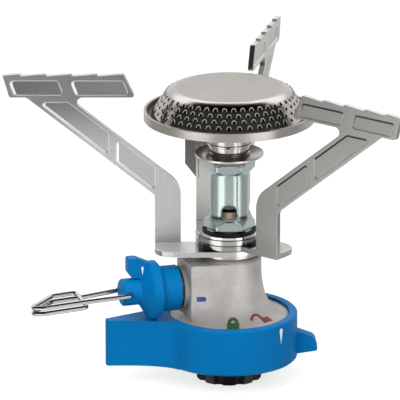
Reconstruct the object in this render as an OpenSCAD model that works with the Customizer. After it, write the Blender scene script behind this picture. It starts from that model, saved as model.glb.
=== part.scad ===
// Camping gas stove: a small burner with three swinging pan supports that locks onto a gas cartridge.
// Millimetres, +Z up, origin on the burner's axis at the foot of the clip ring, knob towards -X.

/* [Clip ring] */
// Radius of the socket that takes the cartridge valve
socket_r = 10; // [8:0.1:10.6]
// Height of the clip ring, foot to flange top
clip_h = 8; // [7:0.1:12]
// Radius over the finger lobes at the foot
lobe_r = 12.3; // [12:0.1:13]
// Radius over the finger lobes where they are widest
lobe_wide_r = 13; // [12.4:0.1:13.4]
// Number of finger lobes
lobe_count = 10; // [6:1:14]
// Depth of the scallop between two lobes
scallop_depth = 1; // [0.4:0.1:1.2]
// Radius of the scallop between two lobes
scallop_r = 2; // [1.2:0.1:2.6]
// Radius of the flange that holds the lever ring up
clip_flange_r = 20; // [18.5:0.1:21.5]
// Thickness of that flange
clip_flange_t = 1.6; // [1:0.1:2.2]
// Number of clip screws
screw_count = 3; // [2:1:6]
// Radius of the circle of clip screws
screw_circle_r = 15; // [14.9:0.1:15.4]
// Radius of a clip screw's thread
screw_r = 1; // [0.8:0.1:1.3]
// Radius of a clip screw's head
screw_head_r = 1.7; // [1.4:0.1:1.8]
// Height of a clip screw's head
screw_head_h = 1.2; // [0.8:0.1:1.5]
// Length of a clip screw's thread
screw_len = 6; // [4:0.5:9]

/* [Lever ring] */
// Outer radius of the ring
ring_r = 26; // [25:0.1:29]
// Wall of the ring
ring_wall = 3.15; // [2:0.05:4]
// Height of the ring
ring_h = 17.9; // [15:0.1:24]
// Thickness of the web that closes the ring below
web_t = 2.2; // [1.5:0.1:3.5]
// Chamfer on the ring's rims
ring_chamfer = 0.6; // [0.2:0.1:1]
// Reach of the lever from the axis
lever_reach = 47.9; // [42:0.1:60]
// Width of the lever's end
lever_end_w = 3; // [2:0.1:5]
// Rounding of the lever's end
lever_edge_r = 0.8; // [0.3:0.1:1]
// Sideways place of the middle of the lever's end
lever_end_y = 3; // [1:0.1:5]
// Where the lever's front sweep leaves the ring, in degrees
lever_root_az = 206.5; // [200:0.5:215]
// How far the front sweep follows the ring before it turns outward
lever_root_pull = 9; // [5:0.5:12]
// Where the lever's back meets the ring, in degrees
lever_back_az = 155; // [148:0.5:165]
// Direction of the thumb tab, in degrees
tab_az = -17.5; // [-30:0.5:0]
// Reach of the thumb tab past the ring
tab_reach = 7.9; // [6:0.1:12]
// Height of the thumb tab at the ring
tab_h = 10.7; // [9:0.1:14]
// Height of the thumb tab's tip
tab_tip_h = 2.6; // [1.8:0.1:4]
// Thickness of the thumb tab
tab_t = 5; // [3:0.1:8]
// Turn between unlocked and locked, in degrees
lock_turn = 45; // [20:1:90]
// Radius of the stop pin
stop_pin_r = 1.2; // [0.8:0.1:1.3]
// Length of the stop pin above the web
stop_pin_grip = 5; // [3:0.5:9]

/* [Body casting] */
// Radius of the hub that the lever ring turns on
hub_r = 17; // [16.8:0.1:17.2]
// Depth of the dish below the ring's top
dish_drop = 1.1; // [0.5:0.1:3]
// Height of the casting above the dish
body_rise = 25; // [24:0.1:32]
// Radius of the casting's neck
neck_r = 12.2; // [11:0.1:13]
// Height above the dish where the flare starts
flare_rise = 17; // [12:0.1:22]
// Distance from the axis to the valve boss's face
boss_reach = 18; // [16:0.1:19.5]
// Half of the valve boss's width
boss_half_w = 9.3; // [9:0.1:10.5]
// Rounding of the valve boss's corners
boss_edge_r = 1; // [0.5:0.1:1.2]
// Drop from the casting's top to the boss's top
boss_drop = 1.8; // [0.5:0.1:3]
// Depth of the cavity for the cartridge valve's nose
nose_depth = 5; // [4:0.1:8]
// Radius of that cavity
nose_r = 9.2; // [7:0.1:9.8]
// Radius of the gas passages
gas_r = 1.5; // [1:0.1:1.8]

/* [Inlet] */
// Radius of the inlet probe's thread
probe_thread_r = 3; // [2.4:0.1:3.6]
// Length of the inlet probe's thread
probe_thread_len = 6; // [4:0.1:7]
// Radius of the inlet probe's stem
probe_stem_r = 1.8; // [1.4:0.1:2.2]
// Length of the inlet probe's stem below its flange
probe_stem_len = 2.6; // [2:0.1:3]
// Radius of the inlet probe's flange
probe_flange_r = 4.5; // [4:0.1:6]
// Thickness of the inlet probe's flange
probe_flange_t = 1.4; // [1:0.1:1.8]
// Radius of the section of the inlet seal
seal_section_r = 0.8; // [0.5:0.05:0.9]
// Length of the gas filter
filter_len = 3; // [2:0.1:3.4]

/* [Valve and knob] */
// Drop from the casting's top to the valve's axis
valve_drop = 12.6; // [12.2:0.1:12.7]
// Radius of the spindle
spindle_r = 2; // [1.5:0.1:2.4]
// Radius of the valve's inner bore
valve_bore_r = 3; // [2.6:0.1:3.2]
// Length of the valve seat
seat_len = 3; // [2:0.1:3.5]
// Radius of the gland nut's thread
gland_r = 4.5; // [4:0.1:5]
// Length of the gland nut's thread
gland_thread_len = 5; // [3:0.1:5.5]
// Width of the gland nut across its flats
gland_af = 11; // [9:0.1:12]
// Height of the gland nut's head
gland_head_h = 3.6; // [2:0.1:4.5]
// Length of the spindle seal
spindle_seal_len = 2; // [1:0.1:2.4]
// Radius of the round collar on the valve boss
collar_r = 8.2; // [7:0.1:8.3]
// Length of the round collar on the valve boss
collar_len = 1.9; // [0.5:0.1:2.5]
// Gap between that collar and the knob
knob_gap = 1.1; // [0.4:0.1:2]
// Radius of the knob's barrel
barrel_r = 8.65; // [8.2:0.05:9.4]
// Wall of the knob's barrel
barrel_wall = 1.25; // [0.8:0.05:1.4]
// Length of the knob's barrel
barrel_len = 7.5; // [6.6:0.1:10]
// Radius of the knob's disc
disc_r = 11.1; // [10:0.1:11.2]
// Thickness of the knob's disc
disc_t = 4.3; // [3:0.1:6]
// Length of the cone from the disc to the stem
cone_len = 3.2; // [2:0.1:5]
// Radius of the knob's stem
stem_r = 5.2; // [4.6:0.05:5.6]
// Length of the knob's stem past the cone
stem_len = 6.9; // [6:0.1:10]
// Depth that the spindle goes into the knob's stem
spindle_grip = 2; // [1:0.1:2.6]
// Height of the finger lug's top above the valve's axis
lug_top = 13.6; // [11:0.1:13.7]
// Height of the finger lug's underside above the valve's axis
lug_low = 5.6; // [5.2:0.1:7]
// Reach of the finger lug past the cone's start
lug_len = 7.7; // [6:0.1:9]
// Thickness of the finger lug
lug_t = 4.2; // [2.5:0.1:6]
// Length of the lug's level top
lug_flat = 3.4; // [2:0.1:5]

/* [Wire handle] */
// Radius of the wire
wire_r = 0.75; // [0.6:0.05:0.85]
// Distance from the stem's end to the handle's pivot
pivot_inset = 2.4; // [2:0.1:3]
// Rise of the wire handle's pivot above the valve's axis
pivot_lift = 0.6; // [0:0.1:1]
// Distance from the axis to each leg of the handle
leg_y = 6; // [5.8:0.1:8]
// Length of the handle from its pivot to its tip
handle_len = 39; // [32:0.1:42]
// Distance from the pivot to the grip loop's cross wire
grip_start = 17.4; // [12:0.1:20]
// Drop between the two layers of the grip loop
layer_drop = 2.2; // [2.2:0.1:3]
// Droop of the handle at rest, in degrees
handle_droop = 3; // [0:0.5:8]

/* [Pan supports] */
// Thickness of the sheet
arm_t = 2; // [1.2:0.1:2.4]
// Gap between two of the supports' eyes
eye_gap = 0.2; // [0.1:0.05:0.4]
// Radius of the pivot bush
bush_r = 9; // [8.6:0.1:9.6]
// Outer radius of the supports' eyes
eye_r = 12.8; // [11.5:0.1:13.4]
// Thickness of the washer under the supports
base_washer_t = 1.2; // [0.6:0.1:2]
// Distance from the axis to the leg's inner edge
leg_in_r = 18.2; // [17.9:0.1:20]
// Width of the leg
leg_w = 10; // [7:0.1:12]
// Height of the leg's knee above the casting
knee_rise = 22.2; // [18:0.1:26]
// Width of the slanted part
slant_w = 9.75; // [7:0.05:11]
// Reach of the supports from the axis
reach_r = 85.3; // [75:0.1:100]
// Height of the toothed bar
bar_h = 9.3; // [7.5:0.1:12]
// Lean of the bar's outer end
bar_out_lean = 2.5; // [0:0.1:4]
// Lean of the bar's inner end
bar_in_lean = 4.5; // [0:0.1:6]
// Length of bar outside the slanted part
bar_overhang = 6.4; // [3:0.1:12]
// Gap between the burner's rim and the bar
bar_gap = 3; // [2:0.1:8]
// Pitch of the bar's teeth
tooth_pitch = 9.65; // [6:0.05:14]
// Depth of the bar's teeth
tooth_depth = 0.8; // [0.3:0.1:1.4]
// Width of the raised rim round the pressed panels
panel_rim = 1.35; // [0.8:0.05:1.8]
// Depth of the pressed panels on each face
panel_depth = 0.4; // [0.1:0.05:0.5]
// Direction of the left support, in degrees
left_az = 162.5; // [158:0.1:167]
// Direction of the right support, in degrees
right_az = 303.7; // [300:0.1:307]
// Sideways place of the right support's upright, so that the folded supports lie side by side
right_shift = -5.7; // [-7:0.1:-4]
// Direction of the rear support, in degrees
rear_az = 59.3; // [55:0.1:64]

/* [Mixing tube] */
// Turn of the tube's flats and of the rear bracket about the axis, in degrees
face_turn = -17.5; // [-30:0.5:30]
// Width of the hexes across their flats
hex_af = 17; // [15.6:0.1:19]
// Height of the lower hex
low_hex_h = 2.7; // [2:0.1:5]
// Length of the round barrel between the hexes
tube_barrel_len = 21.6; // [17:0.1:27]
// Height of the flare from the lower hex to the barrel
low_flare_h = 4.4; // [3:0.1:5.5]
// Height of the flare from the barrel to the upper hex
top_flare_h = 2.3; // [1.5:0.1:4]
// Height of the upper hex
top_hex_h = 2.9; // [2:0.1:5]
// Radius of the round barrel
tube_r = 8; // [7.4:0.1:8.4]
// Radius of the threaded ends
thread_r = 6.5; // [6.2:0.1:6.8]
// Radius of the tube's bore
tube_bore_r = 5.3; // [4.9:0.1:5.6]
// Length of the lower threaded end inside the casting
low_thread_len = 5; // [4:0.1:5.4]
// Radius of the air holes
air_hole_r = 3; // [2:0.1:3.4]
// Height of the air holes above the lower hex
air_hole_rise = 5.1; // [4:0.1:8]
// Number of air holes
air_holes = 4; // [2:1:6]
// Thickness of the gasket under the lower hex
gasket_t = 0.6; // [0.4:0.1:1]
// Width of the gasket
gasket_w = 1.2; // [0.8:0.1:1.6]
// Radius of the jet
jet_r = 4; // [3:0.1:4.4]
// Radius of the jet's thread
jet_thread_r = 2.5; // [2:0.1:2.6]
// Length of the jet's thread
jet_thread_len = 2.4; // [1.5:0.1:3]
// Rise of the jet's top past the middle of the air holes
jet_rise = 0; // [-1:0.1:1.5]
// Radius of the jet's orifice
orifice_r = 0.3; // [0.2:0.05:0.5]
// Thickness of the jet's seal
jet_seal_t = 0.8; // [0.5:0.1:1.2]

/* [Burner head] */
// Thickness of the flame cup's sheet
cup_t = 0.8; // [0.5:0.1:1.2]
// Radius of the flame cup's lip
cup_r = 13; // [11:0.1:16]
// Rise of the flame cup's lip
cup_rise = 2.5; // [1:0.1:3.4]
// Height of the neck nut
nut_h = 5.2; // [3:0.1:6]
// Radius of the neck nut
nut_r = 7.9; // [7.4:0.1:9]
// Thickness of the lock washer
lock_washer_t = 0.8; // [0.6:0.1:2]
// Radius of the lock washer
lock_washer_r = 8.5; // [7.6:0.1:9.4]
// Width of the split in the lock washer
lock_split = 1.2; // [0.6:0.1:2]
// Height of the burner's neck below the pan
burner_neck_h = 3; // [2.4:0.1:8]
// Radius of the burner's neck
burner_neck_r = 8.1; // [7.8:0.1:9]
// Radius of the burner pan
pan_r = 32.26; // [31:0.1:36]
// Wall of the burner pan
pan_wall = 1; // [0.6:0.1:1.3]
// Height of the pan's rim
pan_rim_h = 3.4; // [2:0.1:5]
// Rise of the pan from its neck to its rim
pan_rise = 6; // [4:0.1:9]
// Width of the level floor inside the rim
pan_ledge_w = 5; // [3:0.1:8]
// Gap between the pan's rim and the cap
cap_inset = 1.8; // [1.2:0.1:3]
// Wall of the burner cap
cap_wall = 0.8; // [0.5:0.05:1]
// Radius of the cap's top disc
cap_top_r = 23.1; // [20:0.1:25]
// Height of the cap's cone
cap_h = 10.3; // [7:0.1:12]
// Height of the lip below the cap's cone
cap_lip_h = 0.8; // [0.3:0.1:1.5]
// Crown of the cap's top disc
cap_crown = 0.4; // [0.2:0.1:2]
// Rounding between the cap's top disc and its cone
cap_edge_r = 6.2; // [3:0.1:7]
// Rows of flame ports
port_rows = 4; // [2:1:4]
// Flame ports in a row
port_count = 45; // [24:1:48]
// Radius of a flame port
port_r = 0.65; // [0.4:0.05:0.7]
// Gap between the burner's crown and the pot
pot_gap = 5.1; // [4:0.1:12]

/* [Rear bracket] */
// Thickness of the bracket's sheet
bracket_t = 0.8; // [0.6:0.1:1]
// Width of the upright strip
strip_w = 5; // [4:0.1:5.4]
// Sideways place of the strip's inner edge
strip_side = 7.5; // [6.5:0.1:7.6]
// Distance of the strip behind the axis
strip_back = 11.2; // [10.6:0.1:11.4]
// Outer radius of the bracket's foot
bracket_foot_r = 12.4; // [10.8:0.1:12.8]
// Width of the flange bent back from the strip
flange_w = 6; // [4:0.1:6.5]
// Bend of that flange, in degrees
flange_bend = 45; // [20:1:60]
// Height of the flange, measured down from the strip's top
flange_h = 16; // [10:0.1:19]
// Gap between the strip's top and the burner pan
bracket_gap = 0.4; // [0.3:0.1:2]

/* [Hidden] */
$fn = 96;

// Clearances
run_fit = 0.05;
seat_fit = 0.03;
side_gap = 0.35;
level_gap = 0.2;
cut = 1;

// Heights of the lower part
flange_z = clip_h - clip_flange_t;
ring_z = clip_h + level_gap;
ring_top_z = ring_z + ring_h;
shoulder_z = ring_z + web_t + level_gap;
dish_z = ring_top_z - dish_drop;
body_top_z = dish_z + body_rise;
flare_z = dish_z + flare_rise;
boss_top_z = body_top_z - boss_drop;
nose_top_z = clip_h + nose_depth;
gas_turn_z = nose_top_z + probe_thread_len + filter_len;
valve_z = body_top_z - valve_drop;
ring_in_r = ring_r - ring_wall;
web_bore_r = hub_r + run_fit;
dish_r = ring_in_r - side_gap;
stop_r = hub_r + stop_pin_r + 1;

// Heights of the pan supports and the mixing tube
eye_z = [for (i = [0:2]) body_top_z + base_washer_t + i * (arm_t + eye_gap)];
bracket_z = eye_z[2] + arm_t + level_gap;
gasket_z = bracket_z + bracket_t;
low_hex_z = gasket_z + gasket_t;
barrel_z = low_hex_z + low_hex_h;
top_hex_z = barrel_z + tube_barrel_len;
cup_z = top_hex_z + top_hex_h;
air_hole_z = barrel_z + air_hole_rise;
tube_foot_z = body_top_z - low_thread_len;
socket_floor_z = tube_foot_z - seat_fit;
jet_z = socket_floor_z + jet_seal_t;
jet_top_z = air_hole_z + jet_rise;

// Heights of the burner head
nut_z = cup_z + cup_t;
lock_z = nut_z + nut_h;
burner_neck_z = lock_z + lock_washer_t;
pan_z = burner_neck_z + burner_neck_h;
rim_z = pan_z + pan_rise;
ledge_z = rim_z + pan_wall;
cap_foot_r = pan_r - pan_wall - cap_inset;
cone_z = ledge_z + cap_lip_h;
cap_edge_z = cone_z + cap_h;
crown_z = cap_edge_z + cap_crown;
rest_z = crown_z + pot_gap;
pan_hole_r = burner_neck_r - 0.8;

// Outline of the pan supports, seen along the sheet's face: distance from the axis, height
leg_out_r = leg_in_r + leg_w;
knee_z = body_top_z + knee_rise;
bar_z = rest_z - bar_h;
bar_out_low_r = reach_r - bar_out_lean;
bar_in_low_r = pan_r + bar_gap;
bar_in_top_r = bar_in_low_r + bar_in_lean;
slant_end_r = bar_out_low_r - bar_overhang;
slant = atan2(bar_z - knee_z, slant_end_r - leg_out_r);
slant_rise = slant_w / cos(slant);
notch_r = slant_end_r - slant_rise / tan(slant);
tooth_count = ceil((reach_r - bar_in_top_r) / tooth_pitch);
bend_r = 10;
fillet_r = 2.3;
notch_fillet_r = 1.9;
tip_r = 0.9;
foot_corner_r = 7;

// Distances out from the axis along the knob
seat_out = gas_r + 1.5;
chamber_out = seat_out + seat_len;
riser_out = chamber_out + 3;
gland_out = boss_reach + collar_len;
seal_out = gland_out - gland_thread_len - spindle_seal_len;
barrel_out = gland_out + knob_gap;
disc_out = barrel_out + barrel_len;
cone_out = disc_out + disc_t;
stem_out = cone_out + cone_len;
stem_end = stem_out + stem_len;
lug_end = cone_out + lug_len;
pivot_out = stem_end - pivot_inset;
cavity_end = disc_out - 1.2;
pin_r = wire_r - 0.05;
soft_edge = 0.6;

function unit(v) = v / norm(v);
function polar(r, a) = [r * cos(a), r * sin(a)];

// Point at t on a quadratic curve from p to s with its pull at q
function curve(p, q, s, t) = (1 - t) * (1 - t) * p + 2 * t * (1 - t) * q + t * t * s;

// Points of the arc of radius r that rounds corner b between a and c
function corner(a, b, c, r, steps) =
    r <= 0 ? [b] :
    let (
        u = unit(a - b),
        v = unit(c - b),
        open = acos(u * v),
        sweep = 180 - open,
        mid = b + unit(u + v) * r / sin(open / 2),
        from = unit(b + u * r / tan(open / 2) - mid),
        to = unit(b + v * r / tan(open / 2) - mid)
    )
    [for (i = [0:steps])
        mid + r * (sin((1 - i / steps) * sweep) * from + sin(i / steps * sweep) * to) / sin(sweep)];

// Closed outline whose corners are each a point and a rounding radius
function rounded(list, steps = 5) =
    let (n = len(list))
    [for (i = [0:n - 1])
        each corner(list[(i + n - 1) % n][0], list[i][0], list[(i + 1) % n][0], list[i][1], steps)];

// Open route whose corners between the two ends are rounded
function rounded_route(list, r, steps = 4) =
    let (n = len(list))
    concat(
        [list[0]],
        [for (i = [1:n - 2]) each corner(list[i - 1], list[i], list[i + 1], r, steps)],
        [list[n - 1]]
    );

// Ring of points round p, square to the direction along a route
function ring_at(p, along, r, sides) =
    let (side = unit(cross(along, [0, 0, 1])), up = cross(along, side))
    [for (k = [0:sides - 1]) p + r * (cos(360 * k / sides) * side + sin(360 * k / sides) * up)];

// Round wire along a route
module wire(route, r, sides) {
    last = len(route) - 1;
    along = [for (i = [0:last]) unit(route[min(i + 1, last)] - route[max(i - 1, 0)])];
    points = [for (i = [0:last]) each ring_at(route[i], along[i], r, sides)];
    walls = [for (i = [0:last - 1], k = [0:sides - 1])
        let (
            a = i * sides + k,
            b = i * sides + (k + 1) % sides,
            c = b + sides,
            d = a + sides
        )
        each [[a, d, c], [a, c, b]]];
    start_cap = [for (k = [1:sides - 2]) [0, k, k + 1]];
    end_first = last * sides;
    end_cap = [for (k = [1:sides - 2]) [end_first, end_first + k + 1, end_first + k]];
    polyhedron(points, concat(start_cap, walls, end_cap), convexity = 8);
}

// Round tube standing on z
module tube(z, h, outer, inner) {
    translate([0, 0, z])
    rotate_extrude()
    translate([inner, 0])
    square([outer - inner, h]);
}

// Places children round the axis
module around(count, first = 0) {
    for (i = [0:count - 1])
        rotate([0, 0, first + i * 360 / count]) children();
}

// Turns children's +Z to point out along the knob, with their +X up
module along_knob() {
    translate([0, 0, valve_z]) rotate([0, -90, 0]) children();
}

// Stands an outline of distance and height upright, t thick and centred
module upright(t) {
    translate([0, t / 2, 0]) rotate([90, 0, 0]) linear_extrude(t) children();
}

// Flare of the casting from its neck down to the dish
flare_curve = [for (i = [0:16])
    curve([neck_r + 0.1, flare_z], [neck_r + 1, dish_z + 0.6], [dish_r, dish_z], i / 16)];

// Valve boss in plan: a flat face with sides that run tangent into the neck
boss_corner = norm([boss_reach, boss_half_w]);
boss_side_az = 180 + atan2(boss_half_w, boss_reach) + acos(neck_r / boss_corner);
boss_side = polar(neck_r, boss_side_az);
boss_outline = rounded([
    [[0, 0], 0],
    [[boss_side[0], -boss_side[1]], 0],
    [[-boss_reach, boss_half_w], boss_edge_r],
    [[-boss_reach, -boss_half_w], boss_edge_r],
    [boss_side, 0]
]);

module body_casting() {
    color("#bdb9b5")
    difference() {
        union() {
            rotate_extrude()
            polygon(concat(
                [[0, body_top_z], [neck_r, body_top_z]],
                flare_curve,
                [[dish_r, shoulder_z], [hub_r, shoulder_z], [hub_r, clip_h], [0, clip_h]]
            ));
            translate([0, 0, dish_z - cut])
            linear_extrude(boss_top_z - dish_z + cut)
            polygon(boss_outline);
            along_knob() translate([0, 0, boss_reach - cut]) cylinder(r = collar_r, h = collar_len + cut);
        }
        // Cavity for the cartridge valve's nose
        translate([0, 0, clip_h - cut]) cylinder(r = nose_r, h = nose_depth + cut);
        // Inlet thread and filter bore
        translate([0, 0, nose_top_z - cut])
        cylinder(r = probe_thread_r + seat_fit, h = gas_turn_z - nose_top_z + cut);
        // Passage across and up to the valve chamber
        translate([0, 0, gas_turn_z - gas_r])
        rotate([0, -90, 0])
        cylinder(r = gas_r, h = riser_out + gas_r);
        translate([-riser_out, 0, gas_turn_z - gas_r])
        cylinder(r = gas_r, h = valve_z - gas_turn_z + gas_r);
        // Valve bores
        along_knob() translate([0, 0, seat_out]) cylinder(r = valve_bore_r, h = boss_reach);
        along_knob() translate([0, 0, seal_out]) cylinder(r = gland_r + seat_fit, h = boss_reach);
        // Outlet up to the jet, with its thread and the tube's socket
        along_knob() cylinder(r = gas_r, h = seat_out + cut);
        translate([0, 0, valve_z]) cylinder(r = gas_r, h = body_top_z - valve_z);
        translate([0, 0, socket_floor_z - jet_thread_len - seat_fit])
        cylinder(r = jet_thread_r + seat_fit, h = jet_thread_len + seat_fit + cut);
        translate([0, 0, socket_floor_z]) cylinder(r = thread_r + seat_fit, h = low_thread_len + cut);
        // Stop pin and clip screws
        rotate([0, 0, 90]) translate([stop_r, 0, shoulder_z - cut])
        cylinder(r = stop_pin_r + seat_fit, h = stop_pin_grip + cut);
        around(screw_count, 30) translate([screw_circle_r, 0, clip_h - cut])
        cylinder(r = screw_r + seat_fit, h = screw_len - clip_flange_t + cut);
    }
}

module inlet_probe() {
    color("#c9a24a")
    difference() {
        rotate_extrude()
        polygon([
            [0, nose_top_z - probe_flange_t - probe_stem_len],
            [probe_stem_r, nose_top_z - probe_flange_t - probe_stem_len],
            [probe_stem_r, nose_top_z - probe_flange_t],
            [probe_flange_r, nose_top_z - probe_flange_t],
            [probe_flange_r, nose_top_z],
            [probe_thread_r, nose_top_z],
            [probe_thread_r, nose_top_z + probe_thread_len - gas_r],
            [0, nose_top_z + probe_thread_len - gas_r]
        ]);
        translate([0, 0, clip_h]) cylinder(r = probe_stem_r / 2, h = nose_depth + probe_thread_len);
    }
}

module inlet_seal() {
    color("#1c1c1c")
    translate([0, 0, nose_top_z - probe_flange_t - seal_section_r])
    rotate_extrude()
    translate([probe_stem_r + seal_section_r, 0])
    circle(r = seal_section_r, $fn = 32);
}

module gas_filter() {
    color("#9a8456")
    translate([0, 0, nose_top_z + probe_thread_len - gas_r])
    cylinder(r = probe_thread_r, h = filter_len - gas_r);
}

module clip_ring() {
    color("#1b1b1d")
    difference() {
        rotate_extrude()
        polygon([
            [socket_r, 0],
            [lobe_r, 0],
            [lobe_wide_r, clip_h / 2],
            [lobe_wide_r, flange_z],
            [clip_flange_r, flange_z],
            [clip_flange_r, clip_h],
            [socket_r, clip_h]
        ]);
        around(lobe_count, face_turn - 90 + 180 / lobe_count)
        translate([lobe_r + scallop_r - scallop_depth, 0, -cut])
        cylinder(r = scallop_r, h = flange_z - 1 + cut);
        around(screw_count, 30) translate([screw_circle_r, 0, 0])
        cylinder(r = screw_r + seat_fit, h = clip_h + cut);
    }
}

module clip_screws() {
    slot_len = screw_head_r * 1.2;
    slot_w = 0.4;
    color("#b9bcc0")
    around(screw_count, 30) translate([screw_circle_r, 0, flange_z - screw_head_h])
    difference() {
        union() {
            cylinder(r = screw_head_r, h = screw_head_h);
            cylinder(r = screw_r, h = screw_head_h + screw_len);
        }
        // Cross slots
        for (turn = [0, 90])
            rotate([0, 0, turn])
            translate([-slot_len / 2, -slot_w / 2, -cut])
            cube([slot_len, slot_w, cut + screw_head_h / 2]);
    }
}

// Lever in plan: a concave sweep off the ring, a narrow end and a straight back
lever_root = polar(ring_r, lever_root_az);
lever_pull = lever_root + lever_root_pull * [sin(lever_root_az), -cos(lever_root_az)];
lever_front = [-lever_reach, lever_end_y - lever_end_w / 2];
lever_back = [-lever_reach, lever_end_y + lever_end_w / 2];
lever_back_root = polar(ring_r, lever_back_az);
lever_sweep = [for (i = [0:15]) curve(lever_root, lever_pull, lever_front, i / 16)];
lever_outline = concat(
    lever_sweep,
    corner(lever_sweep[15], lever_front, lever_back, lever_edge_r, 3),
    corner(lever_front, lever_back, lever_back_root, lever_edge_r, 3),
    [lever_back_root]
);

// Thumb tab from the side, growing out of the ring's wall
tab_root_r = ring_r - ring_wall / 2;
tab_tip = ring_r + tab_reach;
tab_low = 1.1;
tab_brow = [tab_tip - 1.4, tab_h * 0.74];
tab_outline = rounded([
    [[tab_root_r, tab_low], 0],
    [[tab_tip, tab_tip_h], 1],
    [tab_brow, 3],
    [[tab_root_r, tab_h], 0]
]);

module lever_ring() {
    slot_margin = asin((stop_pin_r + side_gap) / stop_r);
    color("#0073b9")
    translate([0, 0, ring_z])
    difference() {
        union() {
            rotate_extrude()
            polygon([
                [web_bore_r, 0],
                [ring_r - ring_chamfer, 0],
                [ring_r, ring_chamfer],
                [ring_r, ring_h - ring_chamfer],
                [ring_r - ring_chamfer, ring_h],
                [ring_in_r, ring_h],
                [ring_in_r, web_t],
                [web_bore_r, web_t]
            ]);
            difference() {
                linear_extrude(ring_h) polygon(lever_outline);
                translate([0, 0, -cut]) cylinder(r = ring_in_r + ring_wall / 3, h = ring_h + 2 * cut);
            }
            rotate([0, 0, tab_az]) upright(tab_t) polygon(tab_outline);
        }
        // Arc that the stop pin travels in
        rotate([0, 0, 90 - slot_margin])
        translate([0, 0, -cut])
        rotate_extrude(angle = lock_turn + 2 * slot_margin)
        translate([web_bore_r - cut, 0])
        square([stop_r + stop_pin_r + side_gap - web_bore_r + cut, web_t + 2 * cut]);
    }
}

module ring_stop_pin() {
    color("#a9adb2")
    rotate([0, 0, 90])
    translate([stop_r, 0, ring_z])
    cylinder(r = stop_pin_r, h = web_t + level_gap + stop_pin_grip);
}

module valve_seat() {
    color("#d8d3c4")
    along_knob()
    translate([0, 0, seat_out])
    difference() {
        cylinder(r = valve_bore_r - seat_fit, h = seat_len);
        translate([0, 0, -cut]) cylinder(r = spindle_r * 0.45, h = seat_len + 2 * cut);
    }
}

module spindle() {
    tip_len = spindle_r * 1.5;
    color("#b4b8bd")
    along_knob()
    rotate_extrude()
    polygon([
        [0, chamber_out - tip_len * 0.2],
        [spindle_r * 0.3, chamber_out - tip_len * 0.2],
        [spindle_r, chamber_out + tip_len],
        [spindle_r, stem_out + spindle_grip],
        [0, stem_out + spindle_grip]
    ]);
}

module spindle_seal() {
    color("#1c1c1c")
    along_knob()
    tube(seal_out, spindle_seal_len, gland_r, spindle_r + run_fit);
}

module gland_nut() {
    color("#c9a24a")
    along_knob()
    difference() {
        union() {
            translate([0, 0, gland_out - gland_thread_len]) cylinder(r = gland_r, h = gland_thread_len);
            translate([0, 0, gland_out]) cylinder(r = gland_af / 2 / cos(30), h = gland_head_h, $fn = 6);
        }
        translate([0, 0, gland_out - gland_thread_len - cut])
        cylinder(r = spindle_r + run_fit, h = gland_thread_len + gland_head_h + 2 * cut);
    }
}

// Finger lug from the side: height above the valve's axis, distance out
lug_chamfer = [2.5, 1.7];
lug_outline = rounded([
    [[lug_low, stem_out - cone_len / 2], 0],
    [[lug_low, lug_end - lug_chamfer[1]], 0.6],
    [[lug_low + lug_chamfer[0], lug_end], 0.6],
    [[lug_top, lug_end], 0.6],
    [[lug_top, lug_end - lug_flat], 1],
    [[disc_r - soft_edge, cone_out - disc_t / 2], 0],
    [[lug_low, cone_out - disc_t / 2], 0]
], 3);

module knob() {
    color("#0073b9")
    along_knob()
    difference() {
        union() {
            rotate_extrude()
            polygon([
                [barrel_r - barrel_wall, barrel_out],
                [barrel_r, barrel_out],
                [barrel_r, disc_out],
                [disc_r - soft_edge, disc_out],
                [disc_r, disc_out + soft_edge],
                [disc_r, cone_out - soft_edge],
                [disc_r - soft_edge, cone_out],
                [stem_r, stem_out],
                [stem_r, stem_end - soft_edge],
                [stem_r - soft_edge, stem_end],
                [0, stem_end],
                [0, stem_out + spindle_grip + seat_fit],
                [spindle_r + seat_fit, stem_out + spindle_grip + seat_fit],
                [spindle_r + seat_fit, cavity_end],
                [barrel_r - barrel_wall, cavity_end]
            ]);
            translate([0, lug_t / 2, 0]) rotate([90, 0, 0]) linear_extrude(lug_t) polygon(lug_outline);
        }
        // Cross hole for the handle's ends
        translate([pivot_lift, 0, pivot_out]) rotate([90, 0, 0])
        cylinder(r = pin_r + run_fit, h = 2 * stem_r + 2 * cut, center = true);
    }
}

// Route of the wire: distance out from the pivot, sideways, height
wire_start_y = stem_r + 0.15;
handle_bend = 1.3;
handle_route = [
    [0, -wire_start_y, 0],
    [0, -leg_y - 1, 0],
    [grip_start, -leg_y, 0],
    [handle_len - 5, -leg_y, 0],
    [handle_len, -leg_y + 2, 0],
    [handle_len - 11, leg_y, 0],
    [grip_start + 1, leg_y, 0],
    [grip_start, -leg_y, -layer_drop],
    [handle_len - 5, -leg_y, -layer_drop],
    [handle_len, -leg_y + 2, -layer_drop],
    [handle_len - 11, leg_y, -layer_drop],
    [grip_start - 1, leg_y, -layer_drop],
    [0, leg_y + 1, 0],
    [0, wire_start_y, 0]
];

module wire_handle() {
    color("#b9bcc0")
    translate([-pivot_out, 0, valve_z + pivot_lift])
    rotate([0, -handle_droop, 0]) {
        mirror([1, 0, 0]) wire(rounded_route(handle_route, handle_bend), wire_r, 12);
        for (side = [-1, 1])
            translate([0, side * (wire_start_y + 0.3), 0])
            rotate([side * 90, 0, 0])
            cylinder(r = pin_r, h = wire_start_y - 0.6);
    }
}

module pivot_bush() {
    color("#8f9499")
    tube(body_top_z, low_hex_z - body_top_z, bush_r, thread_r + seat_fit);
}

module base_washer() {
    color("#77797c")
    tube(body_top_z, base_washer_t, neck_r, bush_r + seat_fit);
}

// Height of the slanted part's lower edge at a distance from the axis
function slant_at(r) = knee_z + (r - leg_out_r) * tan(slant);

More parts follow.
